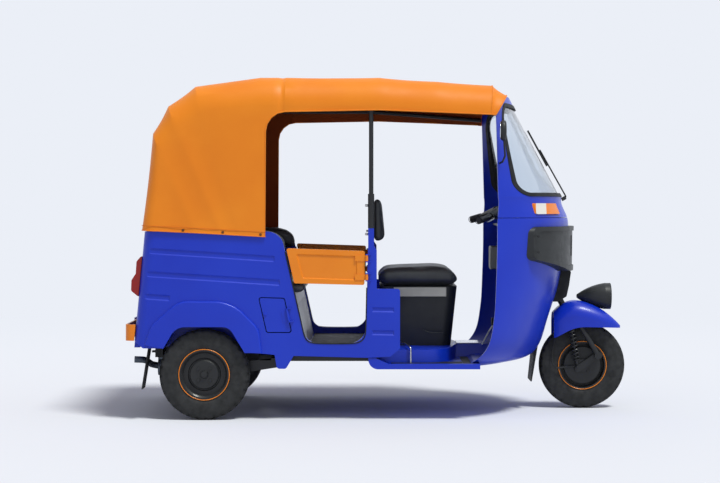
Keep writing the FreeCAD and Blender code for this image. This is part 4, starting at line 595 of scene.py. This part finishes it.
# For each crease: its foot (x, z), its top (x, z), and the radius of its two shoulders.
CLOTH_ROWS = [
    ((0.577, 1.562), (0.640, 1.6675), 0.150), ((0.5565, 1.5655), (0.569, 1.7205), 0.150),
    ((0.287, 1.577), (0.287, 1.7405), 0.150), ((-0.017, 1.5885), (-0.017, 1.7615), 0.150),
    ((-0.498, 1.5795), (-0.498, 1.7615), 0.150), ((-0.536, 1.5715), (-0.536, 1.7615), 0.150),
    ((-0.568, 1.5490), (-0.560, 1.7615), 0.150), ((-0.590, 1.5160), (-0.580, 1.7615), 0.150),
    ((-0.598, 1.4780), (-0.598, 1.7615), 0.150), ((-0.598, 0.9375), (-0.631, 1.7615), 0.150),
    ((-0.720, 0.944), (-0.9665, 1.7145), 0.140), ((-0.820, 0.950), (-1.1045, 1.6115), 0.120),
    ((-0.950, 0.957), (-1.1805, 1.4705), 0.095), ((-1.098, 0.964), (-1.2345, 0.9700), 0.060),
]
# Rows of points from each crease to the next; the hem begins at crease number HEM_CREASE.
STEPS = [4, 6, 8, 8, 9, 1, 1, 1, 1, 2, 8, 8, 8]
HEM_CREASE = 9
SIDE_STEPS, ARC_STEPS, HALF_TOP_STEPS = 16, 8, 10
CAB_MIDDLE = Vector((-0.3, 0, 1.3))


def cloth_row(foot, top, radius):
    """Points across the cloth from the right foot over the top to the left foot."""
    foot, top = Vector((foot[0], 0, foot[1])), Vector((top[0], 0, top[1]))
    upward = (top - foot).normalized()
    rise = (top - foot).length
    radius = min(radius, rise * 0.98)
    half = [(-CLOTH_HALF, step / SIDE_STEPS * (rise - radius)) for step in range(SIDE_STEPS)]
    for step in range(ARC_STEPS):
        turn = math.pi / 2 * step / ARC_STEPS
        half.append((-CLOTH_HALF + radius * (1 - math.cos(turn)), rise - radius + radius * math.sin(turn)))
    flat = CLOTH_HALF - radius
    half += [(-flat + flat * step / HALF_TOP_STEPS, rise) for step in range(HALF_TOP_STEPS)]
    line = half + [(0, rise)] + [(-across, up) for across, up in reversed(half)]
    return [foot + upward * up + Vector((0, across, 0)) for across, up in line]


print("creases", len(CLOTH_ROWS), "points across", len(cloth_row(*CLOTH_ROWS[0])))

# %% Rows of cloth between the creases
SAG = 0.0052
WRINKLE = 0.0014


def slackened(spot, part, on_top):
    """Move a point in towards the cab, most half way between two bows, and a little less on the sides."""
    span = math.sin(math.pi * part)
    sag = SAG * span * (0.8 + 0.2 * math.sin(5 * spot.y)) * (1 if on_top else 0.8)
    wrinkle = noise.noise(Vector((spot.x * 6, spot.y * 6, spot.z * 2.5))) + 0.6
    return spot + (CAB_MIDDLE - spot).normalized() * (sag + max(0, WRINKLE * wrinkle * span))


rows, starts = [], []
for first, second, between in zip(CLOTH_ROWS, CLOTH_ROWS[1:], STEPS):
    starts.append(len(rows))
    for step in range(between):
        part = step / between
        row = [a.lerp(b, part) for a, b in zip(cloth_row(*first), cloth_row(*second))]
        if between > 2:
            for number in range(1, len(row) - 1):
                on_top = SIDE_STEPS < number < len(row) - SIDE_STEPS
                row[number] = slackened(row[number], part, on_top)
        rows.append(row)
rows.append(cloth_row(*CLOTH_ROWS[-1]))
hem_start = starts[HEM_CREASE]
print("rows of cloth", len(rows), "with the hem from row", hem_start)

# %% [markdown]
# ### Cloth with a painted-shade inside
# The grid becomes one mesh. Solidify gives it 3 mm, towards the cab.
# The inner faces are then found by their normal, because they look to the middle of the cab, and take the
# darker copy of the canvas, whose dark brown is painted shade.

# %% Canopy cloth
width = len(rows[0])
canopy_mesh = bpy.data.meshes.new("canopy_cloth")
canopy_mesh.from_pydata([spot for row in rows for spot in row], [], [
    (r * width + c, r * width + c + 1, (r + 1) * width + c + 1, (r + 1) * width + c)
    for r in range(len(rows) - 1) for c in range(width - 1)])
canopy = bpy.data.objects.new("canopy_cloth", canopy_mesh)
scene.collection.objects.link(canopy)
activate(canopy)
bpy.ops.object.mode_set(mode="EDIT")
bpy.ops.mesh.select_all(action="SELECT")
bpy.ops.mesh.normals_make_consistent(inside=False)
bpy.ops.object.mode_set(mode="OBJECT")
if canopy_mesh.polygons[len(canopy_mesh.polygons) // 2].normal.z < 0:
    canopy_mesh.flip_normals()
modify("SOLIDIFY", thickness=0.003, offset=-1)
canopy = settle("canopy_cloth", canvas, angle=22, stands_for=["canopy"])
# Inside faces take the dark brown copy of the canvas: painted shade for the inside of the canopy.
canopy.data.materials.append(painted_shade_canvas)
for face in canopy.data.polygons:
    inner = (CAB_MIDDLE - face.center).normalized().dot(face.normal) > 0.1
    face.material_index = 1 if inner else 0

# %% [markdown]
# ### Hem, seams and snaps
# The hem is folded and sewn: a thick edge below and a line of thread above it. A seam crosses the front,
# and snaps hold the hem to the tub. A bump line would vanish at this distance, so each line is a thin
# tube that follows the cloth's own points, and each snap a rounded rod. They sit just proud of the cloth.

# %% Seams, hem and snaps
REAR_CORNER = 1.10


def front_crease(lift):
    """Points a little outside the cloth along its first crease behind the edge."""
    return [spot + (spot - CAB_MIDDLE).normalized() * lift for spot in cloth_row(*CLOTH_ROWS[1])]


def hem_outward(spot):
    """Straight sideways along the flanks, turning to the rear round the tail's corners."""
    if spot.x > -REAR_CORNER:
        return Vector((0, math.copysign(1, spot.y), 0))
    return Vector((spot.x + REAR_CORNER, spot.y, 0)).normalized()


seams = []
for name, lift, thick, material in (("front_seam", 0.0008, 0.0015, brown_thread),
                                    ("front_seam_welt", 0.0, 0.0030, canvas)):
    pipe_start(front_crease(lift), thick, smooth=False)
    seams.append(settle(name, material))
flank = rows[hem_start:-1]
hem_line = [row[0] for row in flank] + rows[-1] + [row[-1] for row in reversed(flank)]
for name, up, thick, material in (("hem_stitch", 0.026, 0.0013, orange_thread),
                                  ("hem_edge", 0.0030, 0.0028, canvas)):
    pipe_start([spot + hem_outward(spot) * 0.0007 + Vector((0, 0, up)) for spot in hem_line], thick,
               smooth=False)
    seams.append(settle(name, material))

SNAP_RADIUS = 0.0068
snaps = []
for x, up in ((-1.018, 0.9735), (-0.815, 0.9630), (-0.622, 0.9515)):
    rod_start((x, -CLOTH_HALF, up), (x, -CLOTH_HALF - 0.0042, up), SNAP_RADIUS, 20, 0.0012)
    snaps.append(settle(f"snap_{x}", brown_thread))
    snaps.append(twin(snaps[-1], f"snap_left_{x}", flip=True))
for across in (-0.42, -0.14, 0.14, 0.42):
    rod_start((-1.2335, across, 0.985), (-1.2380, across, 0.985), SNAP_RADIUS, 20, 0.0012)
    snaps.append(settle(f"snap_tail_{across}", brown_thread))
seam_piece = join_all("canopy_stitching", seams + snaps)

# %% [markdown]
# ### Bound edge
# The opening's edge is bound with a folded strip of the same canvas, which looks like a thick round bead.
# Here it is a tube along the first point of every row on each side, and one across the front. With it the
# cloth is whole.

# %% Binding
binding = []
for side, hand in SIDES:
    y = hand * (CLOTH_HALF - 0.001)
    spots = [Vector((row[0].x, y, row[0].z)) for row in rows[:hem_start + 1]]
    pipe_start(spots + [Vector((-0.5985, y, 0.942))], 0.0036, smooth=False)
    binding.append(settle(f"binding_{side}", canvas))
pipe_start([spot + Vector((0.001, 0, 0)) for spot in cloth_row(*CLOTH_ROWS[0])], 0.004, smooth=False)
binding.append(settle("binding_front", canvas))
front_binding = join_all("canopy_edge_binding", binding)

# %% [markdown]
# ## Cushions
# Each cushion is foam in a sewn vinyl cover. A bevelled block alone looks like wood, so the block is
# remeshed and blown up a little as cloth, which crowns its faces and pulls its sides in between the
# corners. How far a point may move is capped, and at the end the pad is fitted to the box of its CAD
# solid. A lean tilts a back, and a crown gives the height of the top along x.

# %% Cushion maker
INSET = 0.0005
TOP_SWELL = 0.004
CLOTH_FRAMES = 20


def read_off(table, x):
    """Read a value between the points of a table."""
    for (x0, v0), (x1, v1) in zip(table, table[1:]):
        if x <= x1:
            return v0 + (v1 - v0) * max(0, (x - x0) / (x1 - x0))
    return table[-1][1]


def blow_up(pad, swell):
    """Swell the pad as cloth under pressure, with no point moving further than swell."""
    start = [vertex.co.copy() for vertex in pad.data.vertices]
    cloth = pad.modifiers.new("cloth", "CLOTH")
    cloth.settings.use_pressure = True
    cloth.settings.uniform_pressure_force = 4
    cloth.settings.effector_weights.gravity = 0
    cloth.settings.quality = 4
    cloth.point_cache.frame_start, cloth.point_cache.frame_end = 1, CLOTH_FRAMES
    for number in range(1, CLOTH_FRAMES + 1):
        scene.frame_set(number)
    bpy.ops.object.modifier_apply(modifier=cloth.name)
    scene.frame_set(1)
    for vertex, before in zip(pad.data.vertices, start):
        moved = vertex.co - before
        if moved.length > swell:
            vertex.co = before + moved.normalized() * swell


def fit_to_box(pad, low, high, lean):
    """Stretch the pad to fill the box between two corners, and keep every point inside it."""
    bare = [vertex.co - Vector((lean(vertex.co.x, vertex.co.z), 0, 0)) for vertex in pad.data.vertices]
    least = [min(spot[axis] for spot in bare) for axis in range(3)]
    most = [max(spot[axis] for spot in bare) for axis in range(3)]
    for vertex, spot in zip(pad.data.vertices, bare):
        filled = Vector([low[axis] + (spot[axis] - least[axis]) / (most[axis] - least[axis])
                         * (high[axis] - low[axis]) for axis in range(3)])
        vertex.co = filled + Vector((lean(filled.x, filled.z), 0, 0))
        spot = vertex.co
        rear, front = [end + lean(end, spot.z) for end in (low.x, high.x)]
        spot.x = min(max(spot.x, rear + INSET), front - INSET)
        spot.y = min(max(spot.y, low.y + INSET), high.y - INSET)
        spot.z = min(max(spot.z, low.z + INSET), high.z + TOP_SWELL)


def cushion(name, low, high, corner, node, swell=0.010, lean=lambda x, up: 0, crown=None):
    """A padded piece that fills the space of its CAD solid."""
    low, high = Vector(low), Vector(high)
    room = Vector((swell * 0.75,) * 3) * 0.8  # the block starts smaller, because it swells
    box_start(low + room, high - room, corner, 5)
    pad = bpy.context.object
    for vertex in pad.data.vertices:
        vertex.co.x += lean(vertex.co.x, vertex.co.z)
    if crown:
        modify("SUBSURF", subdivision_type="SIMPLE", levels=3, render_levels=3)
        for vertex in pad.data.vertices:
            vertex.co.z = low.z + (vertex.co.z - low.z) * read_off(crown, vertex.co.x)
    modify("REMESH", mode="VOXEL", voxel_size=0.009)
    blow_up(pad, swell)
    modify("SMOOTH", iterations=3, factor=0.5)
    modify("SUBSURF", levels=1, render_levels=1)
    fit_to_box(pad, low, high, lean)
    made = settle(name, seat_vinyl, "body", [node], angle=60)


# %% [markdown]
# ### The seats
# The driver's cushion falls away at its front edge, and the small backrest is thicker at its foot. The
# bench has a flat cushion and a leaning back, and its two arm pads slope down to the front.

# %% Seats
def backrest_lean(x, up):
    """The rear face stays upright, and the front face comes forward towards the foot."""
    return 0.020 * (1.13 - up) / 0.2 * min(max((x + 0.049) / 0.046, 0), 1)


def bench_lean(x, up):
    """The whole back leans to the rear, by 44 mm at its top."""
    return -0.044 * (up - 0.65) / 0.46


# For each crown: (x, share of the cushion's height that its top has there).
DRIVER_CROWN = [(-0.02, 0.80), (0.02, 0.88), (0.12, 0.94), (0.28, 1.0), (0.34, 0.93), (0.38, 0.72),
                (0.398, 0.55)]
ARM_CROWN = [(-0.80, 1.0), (-0.61, 1.0), (-0.57, 0.95), (-0.54, 0.84), (-0.515, 0.64), (-0.50, 0.42)]
cushion("driver_cushion_padded", (-0.021, -0.300, 0.6715), (0.398, 0.300, 0.779), 0.045,
        "driver_seat_cushion", 0.012, crown=DRIVER_CROWN)
cushion("driver_backrest_padded", (-0.049, -0.230, 0.911), (-0.003, 0.230, 1.132), 0.020,
        "driver_backrest", 0.006, lean=backrest_lean)
cushion("bench_cushion_padded", (-0.850, -0.600, 0.6485), (-0.398, 0.600, 0.712), 0.028,
        "passenger_seat_cushion")
cushion("bench_back_padded", (-0.940, -0.600, 0.650), (-0.856, 0.600, 1.106), 0.040,
        "passenger_seat_back", lean=bench_lean)
for side, hand in SIDES:
    near, far = sorted((hand * 0.557, hand * 0.6115))
    cushion(f"arm_pad_{side}", (-0.798, near, 0.862), (-0.500, far, 0.974), 0.022,
            "passenger_seat_back", 0.006, crown=ARM_CROWN)

# %% [markdown]
# ### A welt on the bench
# Where two panels of vinyl are sewn together, a round cord in vinyl covers the seam. It goes round the
# upper edge of the bench's cushion. The remesh would swallow it, so it is a tube laid on afterwards.

# %% Bench welt
def rounded(x0, x1, half, cut):
    """Corner points of a rounded rectangle in plan, closed on itself."""
    path = []
    for cx, cy, start in ((x1 - cut, half - cut, 0), (x0 + cut, half - cut, 90),
                          (x0 + cut, -half + cut, 180), (x1 - cut, -half + cut, 270)):
        for step in range(5):
            turn = math.radians(start + 22.5 * step)
            path.append((cx + cut * math.cos(turn), cy + cut * math.sin(turn)))
    return path + path[:1]


pipe_start([(x, y, 0.700) for x, y in rounded(-0.847, -0.401, 0.597, 0.035)], 0.0032)
settle("bench_cushion_welt", black_rubber)

# %% [markdown]
# ## Tyres
# A tyre is moulded round its axle, so its section is drawn once and spun, which is how it is made. The
# tread has two grooves round it, which are part of the section. The blocks at each shoulder are left
# standing when every third sector of it is picked and pushed in. The rear tyres are copies.

# %% Tyre section
AXLE_UP = 0.233
FRONT_AXLE_X, REAR_AXLE_X = 1.087, -0.913
REAR_WHEEL_Y = 0.575
SPIN_STEPS = 96
# Points (across, radius) of one half, from the bead over the side wall to the middle of the tread.
TYRE_SECTION = [
    (0.0435, 0.1245), (0.0435, 0.133), (0.0500, 0.142), (0.0535, 0.160), (0.0530, 0.185),
    (0.0500, 0.203), (0.0465, 0.214), (0.0455, 0.2195), (0.0410, 0.2250), (0.0330, 0.2287),
    (0.0240, 0.2308), (0.0228, 0.2268), (0.0190, 0.2268), (0.0178, 0.2318), (0.0060, 0.2328),
    (0.0045, 0.2285), (0.0, 0.2285)]
TYRE_INSIDE = [(-0.034, 0.1245), (-0.044, 0.160), (-0.036, 0.215), (0.036, 0.215), (0.044, 0.160),
               (0.034, 0.1245)]
outline = TYRE_SECTION + [(-y, z) for y, z in reversed(TYRE_SECTION[:-1])] + TYRE_INSIDE
count = len(outline)
section = bpy.data.meshes.new("tyre_section")
section.from_pydata([(0, y, z) for y, z in outline], [(i, (i + 1) % count) for i in range(count)], [])
tyre = bpy.data.objects.new("tyre", section)
scene.collection.objects.link(tyre)
activate(tyre)
bpy.ops.object.mode_set(mode="EDIT")
bpy.ops.mesh.select_all(action="SELECT")
bpy.ops.mesh.spin(steps=SPIN_STEPS, angle=math.tau, center=(0, 0, 0), axis=(0, 1, 0))
bpy.ops.mesh.select_all(action="SELECT")
bpy.ops.mesh.remove_doubles(threshold=0.00005)
bpy.ops.mesh.normals_make_consistent(inside=False)
print("points in the tyre's section", count)


# %% Shoulder blocks and the rear tyres
def is_shoulder_gap(middle, normal):
    """Every third sector of the tread's shoulder."""
    turn = math.degrees(math.atan2(middle.z, middle.x)) % 360
    radius = math.hypot(middle.x, middle.z)
    sector = int(turn // (360 / SPIN_STEPS))
    return 0.0250 < abs(middle.y) < 0.047 and radius > 0.2145 and sector % 3 == 0


print("tyre shoulder faces sunk", choose(is_shoulder_gap))
bpy.ops.mesh.extrude_region_shrink_fatten(TRANSFORM_OT_shrink_fatten={"value": -0.0042})
bpy.ops.object.mode_set(mode="OBJECT")
tyre.data.transform(Matrix.Translation((FRONT_AXLE_X, 0, AXLE_UP)))
tyre = settle("front_tyre_treaded", tyre_rubber, "front_wheel", ["front_tyre"], 40)
for side, hand in SIDES:
    twin(tyre, f"rear_tyre_{side}_treaded", (REAR_AXLE_X - FRONT_AXLE_X, hand * REAR_WHEEL_Y, 0),
         body=f"rear_wheel_{side}", stands_for=[f"rear_tyre_{side}"])

# %% [markdown]
# ## Wheel trim
# The pressed rims are black with a painted orange line at the flange. Paint has no thickness, but a thin
# bead on the flange also shows from the side, so the line is a ring. Four nuts hold each wheel, and a
# dust cap covers the hub. The front wheel shows a line on both its sides.

# %% Wheel trim
WHEELS = [("front", FRONT_AXLE_X, -1, 0.0, "front_wheel"),
          ("right", REAR_AXLE_X, -1, -REAR_WHEEL_Y, "rear_wheel_right"),
          ("left", REAR_AXLE_X, 1, REAR_WHEEL_Y, "rear_wheel_left")]
LINE_RADIUS, NUT_CIRCLE, NUT_SIZE, CAP_RADIUS = 0.1295, 0.042, 0.0085, 0.015
for wheel, x, out, y, body in WHEELS:
    ring_start((x, y + out * 0.0475, AXLE_UP), (0, 1, 0), LINE_RADIUS, 0.0022, 72)
    rim_line = settle(f"{wheel}_rim_line", orange_enamel, body)
    if wheel == "front":
        twin(rim_line, "front_rim_line_left", flip=True, body=body)
    nuts = []
    for number in range(4):
        turn = math.radians(45 + 90 * number)
        nut_x, nut_up = x + NUT_CIRCLE * math.cos(turn), AXLE_UP + NUT_CIRCLE * math.sin(turn)
        start = y + out * 0.0395
        rod_start((nut_x, start, nut_up), (nut_x, start + out * NUT_SIZE, nut_up), NUT_SIZE, 6, 0.001)
        nuts.append(settle(f"{wheel}_nut_{number}", black_enamel, body))
    join_all(f"{wheel}_wheel_nuts", nuts)
    rod_start((x, y + out * 0.049, AXLE_UP), (x, y + out * 0.052, AXLE_UP), CAP_RADIUS, 32, 0.0012)
    settle(f"{wheel}_dust_cap", black_enamel, body)

# %% [markdown]
# ## Springs
# The dampers are rods with a coil spring round them. A Screw modifier could wind the coil, but a round
# wire along a helix of points stands at any angle without turning it afterwards. Each end has a pressed
# cup.

# %% Springs
COIL_POINTS = 16
CUP_THICK = 0.004


def spring(name, foot, axis, low, high, coil, wire, turns, rod, body, node):
    """Coil spring over a rod, from foot along an axis; coil, wire and rod are radii."""
    foot, axis = Vector(foot), Vector(axis).normalized()
    side = axis.orthogonal().normalized()
    other = axis.cross(side)
    path = []
    for step in range(turns * COIL_POINTS + 1):
        turn = math.tau * step / COIL_POINTS
        up = low + (high - low) * step / (turns * COIL_POINTS)
        path.append(foot + axis * up + side * coil * math.cos(turn) + other * coil * math.sin(turn))
    pipe_start(path, wire, resolution=2)
    pieces = [settle(f"{name}_coil", black_enamel, body)]
    rod_start(foot + axis * 0.010, foot + axis * (high + 0.03), rod)
    pieces.append(settle(f"{name}_rod", black_enamel, body))
    for up in (low - CUP_THICK, high + 0.001):
        rod_start(foot + axis * up, foot + axis * (up + CUP_THICK), coil + wire * 0.9)
        pieces.append(settle(f"{name}_cup_{up:.3f}", black_enamel, body))
    made = join_all(name, pieces)
    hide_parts(node)


tilt = math.radians(9.5)
spring("front_spring_damper", (1.057, -0.088, 0.229), (-math.sin(tilt), 0, math.cos(tilt)),
       0.040, 0.200, 0.0185, 0.0040, 8, 0.0075, "steering", "front_damper")
for side, hand in SIDES:
    spring(f"rear_spring_{side}", (-0.822, hand * 0.425, 0.245), (0, 0, 1),
           0.074, 0.350, 0.027, 0.0048, 8, 0.0115, "body", "rear_dampers")

# %% [markdown]
# ## The headlamp
# The lamp has a moulded rim and, behind its glass, a bright reflector with a bulb. The reflector is
# pressed to a bowl. A sphere cut off at the lamp's mouth and given a thickness is such a bowl, closed at
# its back.

# %% Headlamp
LAMP_UP = 0.606
MOUTH_X = 1.2268
ring_start((1.2415, 0, LAMP_UP), (1, 0, 0), 0.0685, 0.0032, 64)
settle("headlamp_rim", dark_abs, "steering")
ball_start((1.2275, 0, LAMP_UP), 0.066, 0.55, (40, 20))
choose(lambda middle, normal: middle.x > MOUTH_X)
bpy.ops.mesh.delete(type="FACE")
bpy.ops.object.mode_set(mode="OBJECT")
modify("SOLIDIFY", thickness=0.0012, offset=1)
settle("headlamp_reflector", chrome, "steering")
ball_start((1.205, 0, LAMP_UP), 0.009, 1.6, (24, 16))
settle("headlamp_bulb", clear_lens, "steering", angle=60)

# %% [markdown]
# ## Handlebar fittings
# The grips are rubber sleeves with raised rings, so rings are set on the CAD bar, nine to a side. A bent
# hand lever stands before each grip, and a round dial case sits on the hub. All turn with the steering.

# %% Grips, hand levers and dial
HUB = Vector((0.6983, 0, 1.0863))
AFT = Vector((-math.cos(math.radians(19)), 0, -math.sin(math.radians(19))))
RING_PITCH = 0.012
for side, hand in SIDES:
    end = HUB + AFT * 0.207 + Vector((0, hand * 0.343, 0))
    start = HUB + AFT * 0.150 + Vector((0, hand * 0.250, 0))
    inward = (start - end).normalized()
    rings = []
    for number in range(9):
        ring_start(end + inward * (0.006 + number * RING_PITCH), inward, 0.0182, 0.0016, 24)
        rings.append(settle(f"grip_ring_{side}_{number}", black_rubber, "steering", angle=60))
    join_all(f"grip_rings_{side}", rings)
    pipe_start([start + Vector((0.006, hand * -0.02, 0.004)),
                start + Vector((0.030, hand * -0.004, -0.004)),
                start + Vector((0.040, hand * 0.035, -0.010)),
                end + Vector((0.052, hand * -0.012, -0.008))], 0.0042)
    settle(f"hand_lever_{side}", zinc, "steering", angle=60)
rod_start(HUB + Vector((-0.02, 0, 0.034)), HUB + Vector((-0.027, 0, 0.0465)), 0.036, 40, 0.003)
choose(lambda middle, normal: normal.z > 0.7 and middle.z > HUB.z + 0.044)
bpy.ops.mesh.inset(thickness=0.004, depth=-0.002)
settle("dial_case", black_abs, "steering")

# %% [markdown]
# ## Floor mats
# The floors have ribbed rubber mats, and the tunnel a ribbed aluminium plate. Bump would leave their
# edges straight, so a grid with one strip to a rib has every other strip raised, and then gets its
# thickness.

# %% Floor mats
BASE_THICK = 0.002
MAT_LOW, MAT_HIGH = 0.2852, 0.2890


def mat(name, low, high, ribs, material=black_rubber):
    """Ribbed mat: every other strip of its top is raised."""
    fresh()
    low, high = Vector(low), Vector(high)
    bpy.ops.mesh.primitive_grid_add(x_subdivisions=2, y_subdivisions=ribs, size=1, location=(
        (low.x + high.x) / 2, (low.y + high.y) / 2, low.z + BASE_THICK))
    bpy.context.object.scale = (high.x - low.x, high.y - low.y, 1)
    bpy.ops.object.transform_apply(location=True, rotation=True, scale=True)
    step = (high.y - low.y) / ribs
    choose(lambda middle, normal: int((middle.y - low.y) / step) % 2 == 0)
    bpy.ops.mesh.extrude_region_move(TRANSFORM_OT_translate={"value": (0, 0, high.z - low.z - BASE_THICK)})
    bpy.ops.object.mode_set(mode="OBJECT")
    modify("SOLIDIFY", thickness=0.0018, offset=-1)
    settle(name, material)


mat("passenger_floor_mat", (-0.385, -0.585, 0.3582), (-0.075, 0.585, 0.3625), 61)
mat("driver_mat_right", (0.415, -0.600, MAT_LOW), (0.500, -0.150, MAT_HIGH), 31)
mat("driver_mat_left", (0.415, 0.150, MAT_LOW), (0.500, 0.600, MAT_HIGH), 31)
for side, hand in SIDES:
    near, far = sorted((hand * 0.480, hand * 0.612))
    mat(f"step_mat_{side}", (0.045, near, MAT_LOW), (0.412, far, MAT_HIGH), 11)
mat("tunnel_plate", (0.402, -0.098, 0.3552), (0.525, 0.098, 0.3590), 5, rolled_aluminium)

# %% [markdown]
# ## Lever, pedal and seat box
# Beside the seat a thin plated lever runs out from the box and bends down to the floor, and a brake pedal
# hangs before the tunnel. The seat box has a silver band, whose middle is sunk by an inset, and a small
# pull. Bars are tubes along a few points, because a tube bends where a real bar is bent. The rest starts
# as rounded boxes.

# %% Lever, pedal, band, pull, dash cover and brackets
LEVER_Y, PEDAL_Y, BOX_SIDE_Y = -0.555, -0.128, -0.2885
pipe_start([(0.100, -0.285, 0.372), (0.118, -0.330, 0.373), (0.138, LEVER_Y + 0.008, 0.373),
            (0.146, LEVER_Y, 0.364), (0.146, LEVER_Y, 0.284)], 0.0045, smooth=False)
settle("bent_lever", zinc, angle=60)
pipe_start([(0.538, PEDAL_Y, 0.352), (0.560, PEDAL_Y, 0.395), (0.590, PEDAL_Y, 0.448),
            (0.604, PEDAL_Y, 0.462)], 0.0045)
settle("pedal_arm", zinc, angle=60)
box_start((0.588, -0.150, 0.455), (0.600, -0.106, 0.495), 0.003)
settle("pedal_pad", black_rubber)
box_start((0.060, -0.2935, 0.617), (0.340, -0.2875, 0.667), 0.0025)
choose(lambda middle, normal: normal.y < -0.9)
bpy.ops.mesh.inset(thickness=0.003, depth=-0.0008)
twin(settle("seat_box_band_right", silver_abs), "seat_box_band_left", flip=True)
pipe_start([(0.218, BOX_SIDE_Y, 0.443), (0.235, BOX_SIDE_Y, 0.430), (0.262, BOX_SIDE_Y, 0.425),
            (0.322, BOX_SIDE_Y, 0.426)], 0.003)
settle("seat_box_pull", dark_abs, angle=60)
box_start((0.587, -0.0825, 0.757), (0.651, 0.0825, 0.876), 0.004)
settle("dash_cover", pale_abs)
for side, hand in SIDES:
    near, far = sorted((hand * 0.50, hand * 0.60))
    box_start((-0.078, near, 0.300), (-0.020, far, 0.333), 0.003)
    settle(f"step_bracket_{side}", black_enamel)
    near, far = sorted((hand * 0.44, hand * 0.515))
    box_start((-0.640, near, 0.292), (-0.570, far, 0.330), 0.006)
    settle(f"bump_stop_{side}", black_rubber)

# %% [markdown]
# ## Edging, screws and bolts
# A rubber section is pushed over the doorway's cut edge, so that it doesn't chafe, and a tube along that
# edge is what shows of it. Screws hold the mask, and domed bolts the door posts. Heads on both sides are
# short rods with a rounded rim.

# %% Doorway edging, mask screws and post bolts
TUB_HALF = 0.640
# The doorway's edge (x, z), down the rear post, along the sill and up to the front post.
DOORWAY = [(-0.4965, 0.862), (-0.478, 0.78), (-0.436, 0.595), (-0.412, 0.49), (-0.398, 0.425),
           (-0.372, 0.397), (-0.30, 0.3935), (-0.18, 0.3935), (-0.12, 0.397), (-0.0875, 0.425),
           (-0.0835, 0.50), (-0.080, 0.68)]
for side, hand in SIDES:
    pipe_start([(x, hand * TUB_HALF, up) for x, up in DOORWAY], 0.0034)
    settle(f"doorway_edging_{side}", black_rubber, angle=60)
    screws = []
    for up in (0.858, 0.940):
        rod_start((0.806, hand * 0.5335, up), (0.807, hand * 0.5412, up), 0.007, 20, 0.001)
        screws.append(settle(f"mask_screw_{side}_{up}", black_enamel))
    join_all(f"mask_screws_{side}", screws)
    bolts = []
    for up in (0.953, 1.100):
        rod_start((-0.070, hand * 0.600, up), (-0.089, hand * 0.600, up), 0.0065, 20, 0.0025)
        bolts.append(settle(f"post_bolt_{side}_{up}", zinc))
    join_all(f"post_bolts_{side}", bolts)

# %% [markdown]
# ## Engine fins
# The engine is air cooled, so its block carries thin cast fins. They stand out all round, so plates that
# pass through the block are enough: only their rims show.

# %% Engine fins
FIN_PITCH, FIN_THICK = 0.020, 0.004
fins = []
for number in range(10):
    up = 0.222 + FIN_PITCH * number
    box_start((-1.158, -0.190, up), (-0.792, 0.190, up + FIN_THICK), 0.001, 2)
    fins.append(settle(f"engine_fin_{number}", cast_aluminium))
join_all("engine_fins", fins)

# %% [markdown]
# ## The last fittings
# On the tail a white plate, left blank, has a pressed rim, made by an inset, and the engine lid has a
# bent handle that swings with it. Each mirror's glass is a thin disc made narrower than it is high. The
# fuel flap has a round knob, and a bolt holds the front mudguard to its stay.

# %% Plate, bolt, lid handle, mirror glass and flap knob
box_start((-1.3265, -0.19, 0.395), (-1.3205, 0.19, 0.500), 0.002)
choose(lambda middle, normal: normal.x < -0.9)
bpy.ops.mesh.inset(thickness=0.006, depth=-0.0012)
settle("blank_plate", plate_white)
rod_start((1.0285, -0.085, 0.463), (1.0285, -0.109, 0.463), 0.0055, 12, 0.001)
settle("fender_bolt", zinc, "steering")
pipe_start([(-1.262, -0.05, 0.565), (-1.281, -0.045, 0.566), (-1.281, 0.045, 0.566), (-1.262, 0.05, 0.565)],
           0.005)
settle("lid_handle", black_enamel, "lid", angle=60)
MIRROR_Y, MIRROR_UP, MIRROR_NARROW = 0.695, 1.481, 0.84
for side, hand in SIDES:
    y = hand * MIRROR_Y
    rod_start((0.5985, y, MIRROR_UP), (0.5965, y, MIRROR_UP), 0.044, 48, 0.0008)
    bpy.context.object.data.transform(Matrix.Translation((0, y, MIRROR_UP))
                                      @ Matrix.Diagonal((1, MIRROR_NARROW, 1, 1))
                                      @ Matrix.Translation((0, -y, -MIRROR_UP)))
    settle(f"mirror_glass_{side}", mirror_glass)
rod_start((-0.598, -0.640, 0.544), (-0.598, -0.647, 0.544), 0.008, 28, 0.0025)
settle("fuel_flap_knob", blue_enamel, "flap")
